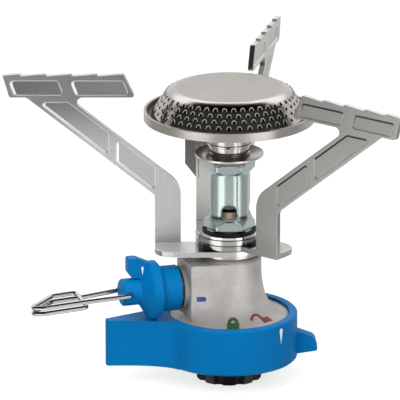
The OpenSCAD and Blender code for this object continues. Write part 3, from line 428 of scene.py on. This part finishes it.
# Stainless steel strip, sheared and bent: pale satin grey, browned by heat where it comes near the burner,
# and painted shade on its flange
dull_steel, tree, place = new_material("stainless_steel_strip_heat_stained")
height = split(tree, place["Object"])["Z"]
drawing = noise(tree, stretched(tree, place["Object"], (1, 1, 0.05)), size=0.5, detail=3.0)
heat_shift = spread(tree, noise(tree, place["Object"], size=6, detail=2.0), -2 * MM, 2 * MM)
heated = ramp_mm(tree, arithmetic(tree, "ADD", height, heat_shift), STRIP_HEAT_Z)
strip_colour = blend(tree, heated, blend(tree, drawing, "#EAE8E4", "#F6F4F0"), "#A4A29D")
# Painted shade: the flange, turned away from the light, is darker
on_flange = ramp_mm(tree, dot(tree, place["Object"], strip_across), STRIP_FLANGE_X, 1.0, 0.0)
above_foot = ramp_mm(tree, height, STRIP_FOOT_Z)
shade(tree, {
    "Base Color": blend(tree, on_flange, strip_colour, "#7A7873"),
    "Metallic": spread(tree, above_foot, 1.0, 0.25),
    "Roughness": between(tree, above_foot, 0.12, spread(tree, drawing, 0.32, 0.46)),
})

# Cone of the burner cap: radius and height of its foot and of its top, where the round shoulder would meet
CONE_FOOT = (29.46, 104.0)
CONE_TOP = (23.1, 114.3)
CONE_LEAN = math.atan2(CONE_TOP[1] - CONE_FOOT[1], CONE_FOOT[0] - CONE_TOP[0])
CONE_LEVEL = CONE_TOP[0] * math.sin(CONE_LEAN) + CONE_TOP[1] * math.cos(CONE_LEAN)
# Spans over which the cap's finish and painted shade change, in millimetres: into the ports, up past them,
# and onto the top
PORT_DEPTH = (CONE_LEVEL - 0.45, CONE_LEVEL - 0.3)
PORTS_TOP_Z = (112.8, 113.1)
CROWN_EDGE_Z = (114.28, 114.39)
# Stainless steel, deep drawn burner cap: satin top, a polished cone that mirrors the room, and painted shade
# inside the ports
cap_steel, tree, place = new_material("stainless_steel_drawn_cap")
height = split(tree, place["Object"])["Z"]
crown = ramp_mm(tree, height, CROWN_EDGE_Z)
satin = noise(tree, place["Object"], size=0.45, detail=3.0)
heat = noise(tree, place["Object"], size=14, detail=2.0)
profile = add(tree, "ShaderNodeCombineXYZ", {"X": axis_distance(tree, place["Object"]), "Y": height})
past_cone = dot(tree, profile.outputs[0], (math.sin(CONE_LEAN), math.cos(CONE_LEAN), 0))
# Painted shade: the walls of the ports, below the cone's surface, are near black
deep = ramp_mm(tree, past_cone, PORT_DEPTH, 1.0, 0.0)
at_ports = ramp_mm(tree, height, PORTS_TOP_Z, 1.0, 0.0)
port_shade = arithmetic(tree, "MULTIPLY", deep, at_ports)
cap_colour = blend(tree, crown, "#B9B5B0", blend(tree, heat, "#99938E", "#A8A29D"))
cap_sheen = between(tree, crown, 0.13, spread(tree, satin, 0.32, 0.46))
cap_bump = add(tree, "ShaderNodeBump", {"Strength": 0.08, "Distance": 0.04 * MM, "Height": satin})
shade(tree, {
    "Base Color": blend(tree, port_shade, cap_colour, "#0E0C0B"), "Metallic": spread(tree, crown, 1.0, 0.4),
    "Roughness": between(tree, port_shade, cap_sheen, 0.8), "Normal": cap_bump.outputs[0],
})

# Steel, turned: cool grey pins, washers and screws with fine turning marks
turned_steel, tree, place = new_material("steel_turned")
tool_mark = noise(tree, place["Object"], size=0.5, detail=3.0)
shade(tree, {
    "Base Color": blend(tree, tool_mark, "#A8A9AB", "#CBCBCC"), "Metallic": 1.0,
    "Roughness": spread(tree, tool_mark, 0.16, 0.32),
})

# Heights between which the jet's tip turns dark with painted shade, in millimetres
JET_TIP_Z = (65.9, 66.3)
# Brass, turned: pale reddish gold that has dulled in patches, with painted shade on the jet's tip
turned_brass, tree, place = new_material("brass_turned")
patina = noise(tree, place["Object"], size=2, detail=4.0)
jet_tip_shade = ramp_mm(tree, split(tree, place["Object"])["Z"], JET_TIP_Z)
shade(tree, {
    "Base Color": blend(tree, jet_tip_shade, blend(tree, patina, "#DDBD9C", "#F4E6D4"), "#1A1512"),
    "Metallic": 0.2, "Roughness": spread(tree, patina, 0.22, 0.4),
})

# Nitrile rubber, moulded: flat black with a soft bloom
nitrile, tree, place = new_material("nitrile_rubber_moulded")
bloom = noise(tree, place["Object"], size=1.5, detail=4.0)
shade(tree, {"Base Color": blend(tree, bloom, "#101010", "#262524"), "Roughness": 0.68, "IOR": 1.52})

# Acetal, turned: milky white seat with a waxy surface
acetal, tree, place = new_material("acetal_turned")
wax = noise(tree, place["Object"], size=0.8, detail=3.0)
shade(tree, {"Base Color": blend(tree, wax, "#D6D2C6", "#E6E3DA"), "Roughness": 0.42, "IOR": 1.48})


def pad_printed(name, thin, full):
    """Ink, pad printed: an even matt colour that lies a little thinner in places."""
    material, tree, place = new_material(name)
    cover = noise(tree, place["Object"], size=0.6, detail=3.0)
    shade(tree, {"Base Color": blend(tree, cover, thin, full), "Roughness": 0.55})
    return material


white_ink = pad_printed("ink_white_pad_printed", "#DDE4EA", "#F2F4F6")
blue_ink = pad_printed("ink_blue_pad_printed", "#3A5680", "#2B487A")
green_ink = pad_printed("ink_green_pad_printed", "#2C5030", "#224628")
red_ink = pad_printed("ink_red_pad_printed", "#742C2A", "#66221F")

dress(cast_aluminium, "body_casting")
dress(blue_abs, "lever_ring", "knob")
dress(black_nylon, "clip_ring")
dress(left_sheet, "arm_left")
dress(right_sheet, "arm_right")
dress(rear_sheet, "arm_rear")
dress(drawn_wire, "wire_handle")
dress(zinc_plate, "mixing_tube")
dress(spun_steel, "burner_pan")
dress(cup_steel, "flame_cup")
dress(bright_steel, "neck_nut", "lock_washer", "burner_neck")
dress(dull_steel, "rear_bracket")
dress(cap_steel, "burner_cap")
dress(turned_steel, "clip_screws", "ring_stop_pin", "spindle", "pivot_bush", "base_washer")
dress(turned_brass, "inlet_probe", "gas_filter", "gland_nut", "jet")
dress(nitrile, "inlet_seal", "spindle_seal", "tube_gasket", "jet_seal")
dress(acetal, "valve_seat")


def node_tool(name, sizes):
    """A Geometry Nodes tree with a named input for each size, the keys of these and its input node."""
    tree = bpy.data.node_groups.new(name, "GeometryNodeTree")
    tree.interface.new_socket("Geometry", in_out="INPUT", socket_type="NodeSocketGeometry")
    keys = {}
    for size, value in sizes.items():
        kind = "NodeSocketInt" if isinstance(value, int) else "NodeSocketFloat"
        socket = tree.interface.new_socket(size, in_out="INPUT", socket_type=kind)
        keys[size] = socket.identifier
    tree.interface.new_socket("Geometry", in_out="OUTPUT", socket_type="NodeSocketGeometry")
    return tree, keys, tree.nodes.new("NodeGroupInput")


def swept(tree, curve, section):
    """A solid swept along a curve, closed at its ends."""
    return add(tree, "GeometryNodeCurveToMesh", {
        "Curve": curve.outputs[0], "Profile Curve": section.outputs[0], "Fill Caps": True,
    }).outputs[0]


def finish_tool(tree, made, material):
    """Ends a tree: real geometry with its material."""
    whole = add(tree, "GeometryNodeRealizeInstances", {0: made})
    painted = add(tree, "GeometryNodeSetMaterial", {"Geometry": whole.outputs[0], "Material": material})
    add(tree, "NodeGroupOutput", {0: painted.outputs[0]})


def run_tool(name, tree, keys, sizes, points, edges):
    """Runs a tree on a few points and edges, and keeps the result as a plain mesh object."""
    start = bpy.data.meshes.new(name + "_start")
    start.from_pydata(points, edges, [])
    piece = bpy.data.objects.new(name, start)
    scene.collection.objects.link(piece)
    modifier = piece.modifiers.new(name, "NODES")
    modifier.node_group = tree
    for size, value in sizes.items():
        modifier[keys[size]] = value
    evaluated = piece.evaluated_get(bpy.context.evaluated_depsgraph_get())
    made = bpy.data.meshes.new_from_object(evaluated)
    piece.modifiers.clear()
    piece.data = made
    made.name = name
    bpy.data.meshes.remove(start)
    return piece


def keep_mesh(name, made, material):
    """Turns a bmesh into an object with one material."""
    mesh = bpy.data.meshes.new(name)
    made.to_mesh(mesh)
    made.free()
    mesh.materials.append(material)
    piece = bpy.data.objects.new(name, mesh)
    scene.collection.objects.link(piece)
    return piece


# Wire handle: one bent wire, its two ends hooked into the knob's cross hole. Lengths in millimetres.
PIVOT_OUT = 40.5
PIVOT_Z = 38.0
DROOP = math.radians(3)
STEM_SIDE = 5.35
PIN_OVERLAP = 0.3
PIN_END = 1
WIRE_SIDES = 14
handle_route = [
    (0, -STEM_SIDE, 0), (0, -7, 0), (17.4, -6, 0), (34, -6, 0), (39, -4, 0), (28, 6, 0), (18.4, 6, 0),
    (17.4, -6, -2.2), (34, -6, -2.2), (39, -4, -2.2), (28, 6, -2.2), (16.4, 6, -2.2),
    (1.8, 6.95, -1.9), (0, 7, 0), (0, STEM_SIDE, 0),
]


def on_handle(out, side, height):
    """A point of the handle's route in the stove's frame."""
    return Vector((
        -PIVOT_OUT - out * math.cos(DROOP) - height * math.sin(DROOP),
        side,
        PIVOT_Z - out * math.sin(DROOP) + height * math.cos(DROOP),
    )) * MM


wire_sizes = {"Wire radius": 0.9 * MM, "Pin radius": 0.68 * MM, "Bend radius": 1.5 * MM, "Bend steps": 7}
tree, keys, given = node_tool("bent_wire", wire_sizes)
route = add(tree, "GeometryNodeMeshToCurve", {0: given.outputs["Geometry"]})
bent = add(tree, "GeometryNodeFilletCurve", {
    "Curve": route.outputs[0], "Count": given.outputs["Bend steps"], "Radius": given.outputs["Bend radius"],
    "Limit Radius": True,
}, mode="POLY")
wire_section = add(tree, "GeometryNodeCurvePrimitiveCircle", {
    "Resolution": WIRE_SIDES, "Radius": given.outputs["Wire radius"],
})
pin_section = add(tree, "GeometryNodeCurvePrimitiveCircle", {
    "Resolution": WIRE_SIDES, "Radius": given.outputs["Pin radius"],
})
joined = add(tree, "GeometryNodeJoinGeometry")
tree.links.new(swept(tree, bent, wire_section), joined.inputs[0])
for side in (-1, 1):
    pin_line = add(tree, "GeometryNodeCurvePrimitiveLine", {
        "Start": on_handle(0, side * (STEM_SIDE + PIN_OVERLAP), 0), "End": on_handle(0, side * PIN_END, 0),
    })
    tree.links.new(swept(tree, pin_line, pin_section), joined.inputs[0])
smooth = add(tree, "GeometryNodeSetShadeSmooth", {"Geometry": joined.outputs[0]})
finish_tool(tree, smooth.outputs[0], drawn_wire)
bent_handle = run_tool(
    "bent_handle", tree, keys, wire_sizes,
    [on_handle(*point) for point in handle_route],
    [(i, i + 1) for i in range(len(handle_route) - 1)],
)
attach(bent_handle, "handle")
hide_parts("wire_handle")

# Flame port lips: each port was punched from inside, so its upper edge stands out as a bright crescent
PORT_ROWS = 4
PORTS_ROUND = 45
# Place of the first row and of the cone's foot, in rows down from the cone's top
FIRST_ROW = 1.15
FOOT_ROW = PORT_ROWS + 1.2
LIP_START = math.radians(-12)
LIP_SWEEP = math.radians(204)
LIP_POINTS = 9
LIP_SIDES = 6
lip_sizes = {"Lip radius": 0.84 * MM, "Lip thickness": 0.13 * MM, "Lip stretch": 1.3}
tree, keys, given = node_tool("port_lips", lip_sizes)
arc = add(tree, "GeometryNodeCurveArc", {
    "Resolution": LIP_POINTS, "Radius": given.outputs["Lip radius"], "Start Angle": LIP_START,
    "Sweep Angle": LIP_SWEEP,
}, mode="RADIUS")
lip_section = add(tree, "GeometryNodeCurvePrimitiveCircle", {
    "Resolution": LIP_SIDES, "Radius": given.outputs["Lip thickness"],
})
spot = split(tree, add(tree, "GeometryNodeInputPosition").outputs[0])
turn = arithmetic(tree, "ADD", arithmetic(tree, "ARCTAN2", spot["Y"], spot["X"]), math.pi / 2)
tilt = add(tree, "ShaderNodeCombineXYZ", {"X": CONE_LEAN, "Z": turn})
stretch = add(tree, "ShaderNodeCombineXYZ", {"X": 1.0, "Y": given.outputs["Lip stretch"], "Z": 1.0})
ports = add(tree, "GeometryNodeMeshToPoints", {"Mesh": given.outputs["Geometry"]})
placed = add(tree, "GeometryNodeInstanceOnPoints", {
    "Points": ports.outputs[0], "Instance": swept(tree, arc, lip_section), "Rotation": tilt.outputs[0],
    "Scale": stretch.outputs[0],
})
whole = add(tree, "GeometryNodeRealizeInstances", {0: placed.outputs[0]})
smooth = add(tree, "GeometryNodeSetShadeSmooth", {"Geometry": whole.outputs[0]})
finish_tool(tree, smooth.outputs[0], punched_edge)
port_places = []
for row in range(PORT_ROWS):
    part = (row + FIRST_ROW) / FOOT_ROW
    port_r = CONE_TOP[0] + (CONE_FOOT[0] - CONE_TOP[0]) * part
    port_z = CONE_TOP[1] + (CONE_FOOT[1] - CONE_TOP[1]) * part
    for k in range(PORTS_ROUND):
        angle = 2 * math.pi * (k + 0.5 * (row % 2)) / PORTS_ROUND
        port_places.append(Vector((port_r * math.cos(angle), port_r * math.sin(angle), port_z)) * MM)
port_lips = run_tool("port_lips", tree, keys, lip_sizes, port_places, [])
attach(port_lips, "stove_body")

# Pressed edges of the supports' panels: the sheet rolls down from the rim to the panel's floor
SHEET_HALF = 1.0
# Steps of the roll: a distance in from the edge and a depth, in millimetres
EDGE_ROLL = [(0, 0), (0.08, 0.03), (0.26, 0.2), (0.44, 0.37), (0.52, 0.4), (0, 0.4)]
# Draft of the panels' edges, out and up: shift per millimetre of depth
LEFT_DRAFT = Vector((-1.1, 0.3))
RIGHT_DRAFT = Vector((-0.6, -1.15))
# Outline of a support: distances from the axis and heights, in millimetres
LEG_OUT = 28.2
KNEE_Z = 72.2
BAR_Z = 110.5
BAR_IN = 37.51
BAR_OUT = 84.05
SLANT_END = 76.4
SLANT = math.atan2(BAR_Z - KNEE_Z, SLANT_END - LEG_OUT)
SLANT_WIDTH = 9.75
SLANT_RISE = SLANT_WIDTH / math.cos(SLANT)
# Panels in it: their rims, and the webs left between two panels
RIM = 1.35
END_RIM = RIM + 0.8
SLANT_RIM = RIM / math.cos(SLANT)
BAR_WEB = SLANT_END - 15.3
BAR_WEB_HALF = 2.35
SLANT_WEB = (LEG_OUT + SLANT_END) / 2 - 8.3
SLANT_WEB_HALF = 1.5
LOW_PANEL_IN = LEG_OUT - 0.2
LOW_PANEL_OUT = SLANT_WEB - SLANT_WEB_HALF
HIGH_PANEL_IN = SLANT_WEB + SLANT_WEB_HALF
PANEL_LOW = 111.445
PANEL_TOP = 117.11
PANEL_LEAN = 1.066
SLANT_TOP = BAR_Z - 1.8
BAR_CORNER = 1.2
SLANT_CORNER = 1.0


def slant_low(out):
    """Lower corner of a slanted panel at a distance from the axis."""
    return out, KNEE_Z + (out - LEG_OUT) * math.tan(SLANT) + SLANT_RIM


def slant_high(out):
    """Upper corner of a slanted panel at a distance from the axis."""
    return out, KNEE_Z + (out - LEG_OUT) * math.tan(SLANT) + SLANT_RISE - SLANT_RIM


def slant_out(height):
    """Distance from the axis at which the slanted part's lower edge has this height."""
    return LEG_OUT + (height - KNEE_Z) / math.tan(SLANT)


def bar_corners(inner, outer):
    """Corners of a bar panel, from its distances from the axis at mid height."""
    return [
        (inner - PANEL_LEAN, PANEL_LOW), (outer - PANEL_LEAN, PANEL_LOW),
        (outer + PANEL_LEAN, PANEL_TOP), (inner + PANEL_LEAN, PANEL_TOP),
    ]


panel_corners = [
    (BAR_CORNER, bar_corners(BAR_IN + RIM, BAR_WEB - BAR_WEB_HALF)),
    (BAR_CORNER, bar_corners(BAR_WEB + BAR_WEB_HALF, BAR_OUT - END_RIM)),
    (SLANT_CORNER, [
        slant_low(LOW_PANEL_IN), slant_low(LOW_PANEL_OUT),
        slant_high(LOW_PANEL_OUT), slant_high(LOW_PANEL_IN),
    ]),
    (SLANT_CORNER, [
        slant_low(HIGH_PANEL_IN), (slant_out(SLANT_TOP - SLANT_RIM), SLANT_TOP),
        (slant_out(SLANT_TOP + SLANT_RIM - SLANT_RISE), SLANT_TOP), slant_high(HIGH_PANEL_IN),
    ]),
]


def corner_arcs(corners, radius, steps=5):
    """Centres and directions of the points that round a panel's corners, in order along its edge."""
    points = [Vector(corner) for corner in corners]
    arcs = []
    for i, point in enumerate(points):
        back = (points[i - 1] - point).normalized()
        on = (points[(i + 1) % len(points)] - point).normalized()
        half = back.angle(on) / 2
        centre = point + (back + on).normalized() * radius / math.sin(half)
        start = point + back * radius / math.tan(half) - centre
        stop = point + on * radius / math.tan(half) - centre
        begin = math.atan2(start.y, start.x)
        sweep = (math.atan2(stop.y, stop.x) - begin + math.pi) % (2 * math.pi) - math.pi
        for k in range(steps + 1):
            angle = begin + sweep * k / steps
            arcs.append((centre, Vector((math.cos(angle), math.sin(angle)))))
    return arcs


def panel_edges(name, turn, draft, body, sheet):
    """The rolled edges of one support's panels, on both faces of its sheet."""
    azimuth = math.radians(turn[0])
    out = Vector((math.cos(azimuth), math.sin(azimuth), 0))
    side = Vector((-math.sin(azimuth), math.cos(azimuth), 0))
    made = bmesh.new()
    for radius, corners in panel_corners:
        arcs = corner_arcs(corners, radius)
        for face in (-1, 1):
            rings = []
            for inset, drop in EDGE_ROLL:
                slope = 0 if inset == 0 else drop
                through = side * (turn[1] + face * (SHEET_HALF - drop))
                ring = []
                for centre, way in arcs:
                    spot = centre + way * (radius - inset) + draft * slope
                    ring.append(made.verts.new((out * spot.x + through + STRAIGHT_UP * spot.y) * MM))
                rings.append(ring)
            for i, ring in enumerate(rings):
                other = rings[(i + 1) % len(rings)]
                for k in range(len(ring)):
                    made.faces.new((ring[k - 1], ring[k], other[k], other[k - 1]))
    bmesh.ops.recalc_face_normals(made, faces=made.faces[:])
    for face in made.faces:
        face.smooth = True
    piece = keep_mesh(name, made, sheet)
    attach(piece, body)


panel_edges("left_panel_edges", LEFT_TURN, LEFT_DRAFT, "left_support", rolled_edge)
panel_edges("right_panel_edges", RIGHT_TURN, RIGHT_DRAFT, "right_support", overhung_edge)
panel_edges("rear_panel_edges", REAR_TURN, LEFT_DRAFT, "rear_support", rolled_edge)


def half_circle(radius, height, steps):
    """Points over a half circle, from its right end to its left end, round a centre at this height."""
    angles = [math.pi * i / steps for i in range(steps + 1)]
    return [(radius * math.cos(angle), height + radius * math.sin(angle)) for angle in angles]


def teardrop(width, length):
    """Outline of a drop with its round end up and its point at the origin."""
    return [(0, 0)] + half_circle(width / 2, length - width / 2, 10)


def arch(inner, outer, foot, rise):
    """Outline of a lock's shackle: an arch on two legs, its feet at this height."""
    over = half_circle(outer, rise, 8)
    under = half_circle(inner, rise, 8)[::-1]
    return [(outer, foot)] + over + [(-outer, foot), (-inner, foot)] + under + [(inner, foot)]


# Printed marks: how far they stand off the surface, and how far in front of the aim they are laid on from
MARK_LIFT = 0.05 * MM
MARK_START = 80 * MM


def printed_mark(name, node, body, outlines, centre, right, up, ink):
    """A thin printed mark laid on a node, from outlines in millimetres round a point in front of it."""
    made = bmesh.new()
    for outline in outlines:
        ring = [made.verts.new((x * MM, y * MM, 0)) for x, y in outline]
        sides = [made.edges.new((ring[i], ring[i - 1])) for i in range(len(ring))]
        bmesh.ops.triangle_fill(made, use_beauty=True, use_dissolve=False, edges=sides)
    bmesh.ops.subdivide_edges(made, edges=made.edges[:], cuts=2, use_grid_fill=True)
    bmesh.ops.triangulate(made, faces=made.faces[:])
    into = -right.cross(up).normalized()
    target = BVHTree.FromPolygons(
        [v.co for v in nodes[node].data.vertices], [p.vertices for p in nodes[node].data.polygons])
    for vert in made.verts:
        spot = target.ray_cast(centre + right * vert.co.x + up * vert.co.y, into)[0]
        vert.co = spot - into * MARK_LIFT
    bmesh.ops.recalc_face_normals(made, faces=made.faces[:])
    if sum((f.normal.dot(into) for f in made.faces)) > 0:
        bmesh.ops.reverse_faces(made, faces=made.faces[:])
    piece = keep_mesh(name, made, ink)
    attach(piece, body)
    return piece


def ray_place(across, down):
    """A point in front of what the photograph shows at a pixel."""
    per_pixel = CAMERA_DISTANCE * SENSOR_MM / LENS_MM / PICTURE_PIXELS
    middle = PICTURE_PIXELS / 2
    in_plane = camera_right * (across - middle) * per_pixel + camera_up * (middle - down) * per_pixel
    return CAMERA_AIM + in_plane + towards_camera * MARK_START


# Pointer drops, the valve mark and the two generic lock signs
POINTER_AZIMUTH = math.radians(-58.7)
pointer_out = Vector((math.cos(POINTER_AZIMUTH), math.sin(POINTER_AZIMUTH), 0))
pointer_right = Vector((-math.sin(POINTER_AZIMUTH), math.cos(POINTER_AZIMUTH), 0))
pointer_place = (pointer_out * 40 + STRAIGHT_UP * 18.2) * MM
ring_pointer = printed_mark(
    "ring_pointer", "lever_ring", "lever", [teardrop(width=1.8, length=6.3)],
    pointer_place, pointer_right, STRAIGHT_UP, white_ink)
knob_pointer = printed_mark(
    "knob_pointer", "knob", "knob_and_spindle", [teardrop(width=0.9, length=3.2)],
    ray_place(142.6, 275), camera_right, camera_up, white_ink)
valve_mark = printed_mark(
    "valve_mark", "body_casting", "stove_body",
    [[(-1.8, -0.9), (1.4, -0.9), (1.9, 0), (1.4, 0.9), (-1.8, 0.9)]],
    ray_place(201.6, 299.2), camera_right, camera_up, blue_ink)
lock_body = [(-2.3, -2.2), (2.4, -2.2), (2.4, 0.8), (-2.3, 0.8)]
closed_lock = printed_mark(
    "closed_lock", "body_casting", "stove_body",
    [lock_body, arch(inner=0.75, outer=2.05, foot=0.75, rise=0.95)],
    ray_place(233, 325), camera_right, camera_up, green_ink)
open_body = [(0.1, -0.2), (0.7, 0.5), (2.3, 0.95), (4.7, -0.6), (1.25, -1.6)]
open_shackle = [
    (-3.45, -0.8), (-4.0, -0.5), (-4.1, 0), (-3.65, 1.2), (-2.9, 1.8), (-2.0, 2.05), (-0.9, 1.75),
    (0.7, 0.5), (0.1, -0.2), (-1.2, 1.0), (-2.0, 1.3), (-2.7, 0.85), (-3.1, 0.1), (-2.9, -0.4),
]
open_lock = printed_mark(
    "open_lock", "body_casting", "stove_body", [open_body, open_shackle],
    ray_place(261, 319), camera_right, camera_up, red_ink)

# Floor: white to the camera, with the shadow; in reflections it shows two soft boxes in front
FLOOR_RADIUS = 3
FLOOR_DROP = 0.0002
BOX_ASIDE = 0.66
# Brightness of the floor for the camera, and of its parts in reflections
FLOOR_GLOW = 0.74
BOX_GLOW = 1.3
FRONT_GLOW = (0.08, 0.22)
BACK_GLOW = 0.4
floor_white, tree, place = new_material("floor_white_paper")
ray = add(tree, "ShaderNodeLightPath").outputs
mirrored = arithmetic(tree, "MAXIMUM", ray["Is Glossy Ray"], ray["Is Transmission Ray"])
outward = add(tree, "ShaderNodeVectorMath", {0: place["Object"]}, operation="NORMALIZE").outputs[0]
ahead = dot(tree, outward, camera_front)
off_axis = arithmetic(tree, "ABSOLUTE", dot(tree, outward, camera_right))
off_box = arithmetic(tree, "ABSOLUTE", arithmetic(tree, "SUBTRACT", off_axis, BOX_ASIDE))
box_glow = ramp(tree, off_box, 0.16, 0.28, BOX_GLOW, 0.0, interpolation_type="SMOOTHSTEP")
front_boxes = arithmetic(tree, "MULTIPLY", box_glow, ramp(tree, ahead, 0.0, 0.3))
floor_front = ramp(tree, ahead, 0.6, 0.9, *FRONT_GLOW)
floor_back = ramp(tree, ahead, -0.6, -0.2, BACK_GLOW, 0.0)
floor_level = arithmetic(tree, "ADD", front_boxes, arithmetic(tree, "ADD", floor_front, floor_back))
mirror_glow = arithmetic(tree, "MULTIPLY", mirrored, floor_level)
camera_glow = arithmetic(tree, "MULTIPLY", ray["Is Camera Ray"], FLOOR_GLOW)
paper = add(tree, "ShaderNodeBsdfDiffuse", {"Color": linear("#A5A5A5")})
light = add(tree, "ShaderNodeEmission", {
    "Color": linear("#FFFFFF"), "Strength": arithmetic(tree, "MAXIMUM", mirror_glow, camera_glow),
})
surface(tree, add(tree, "ShaderNodeAddShader", {0: paper.outputs[0], 1: light.outputs[0]}))
made = bmesh.new()
bmesh.ops.create_circle(made, cap_ends=True, segments=64, radius=FLOOR_RADIUS)
floor = keep_mesh("floor", made, floor_white)
floor.location.z = -FLOOR_DROP

# Brightness of the room's parts, and the direction of the soft box at the front right
ROOM_DARK = 0.03
CEILING_GLOW = 0.05
BACKDROP_GLOW = (0.92, 1.8)
RIGHT_BOX_GLOW = 1.2
BOX_WAY = (camera_front * 0.8 + camera_right * 0.56 + STRAIGHT_UP * 0.22).normalized()


def room_level(tree, direction):
    """How bright the studio is in a direction: a backdrop, brighter higher up, a soft box, else dark."""
    soft = {"interpolation_type": "SMOOTHSTEP"}
    ahead = dot(tree, direction, camera_front)
    rise = split(tree, direction)["Z"]
    behind = ramp(tree, ahead, -0.42, -0.2, 1.0, ROOM_DARK, **soft)
    below_top = ramp(tree, rise, 0.74, 0.84, 1.0, CEILING_GLOW, **soft)
    wash = ramp(tree, rise, 0.36, 0.6, *BACKDROP_GLOW, **soft)
    backdrop = arithmetic(tree, "MULTIPLY", arithmetic(tree, "MULTIPLY", behind, below_top), wash)
    right_box = ramp(tree, dot(tree, direction, BOX_WAY), 0.9, 0.96, 0.0, RIGHT_BOX_GLOW, **soft)
    return arithmetic(tree, "MAXIMUM", backdrop, right_box)


# Studio light: the room round the stove, plain white where the camera looks past it
world = bpy.data.worlds.new("studio")
scene.world = world
world.use_nodes = True
tree = world.node_tree
tree.nodes.clear()
look = add(tree, "ShaderNodeTexCoord").outputs["Generated"]
ray = add(tree, "ShaderNodeLightPath").outputs
sky = add(tree, "ShaderNodeBackground", {
    "Color": linear("#FFFFFF"), "Strength": between(tree, ray["Is Camera Ray"], room_level(tree, look), 1.0),
})
add(tree, "ShaderNodeOutputWorld", {"Surface": sky.outputs[0]})

# Point that the lamps look at
LAMP_AIM = Vector((0, 0, 0.06))


def soft_lamp(name, azimuth, elevation, distance, size, power):
    """A large square soft lamp that looks at the middle of the stove, kept out of mirror reflections."""
    data = bpy.data.lights.new(name, "AREA")
    data.shape = "SQUARE"
    data.size = size
    data.energy = power
    lamp = bpy.data.objects.new(name, data)
    turn = math.radians(azimuth)
    rise = math.radians(elevation)
    away = Vector((math.sin(turn) * math.cos(rise), -math.cos(turn) * math.cos(rise), math.sin(rise)))
    lamp.location = LAMP_AIM + away * distance
    lamp.rotation_euler = (-away).to_track_quat("-Z", "Y").to_euler()
    lamp.visible_glossy = False
    scene.collection.objects.link(lamp)


soft_lamp("left_lamp", azimuth=-50, elevation=35, distance=1.2, size=0.8, power=11)
soft_lamp("right_lamp", azimuth=25, elevation=35, distance=1.3, size=0.7, power=7)
soft_lamp("top_lamp", azimuth=-20, elevation=80, distance=1.3, size=0.9, power=6)
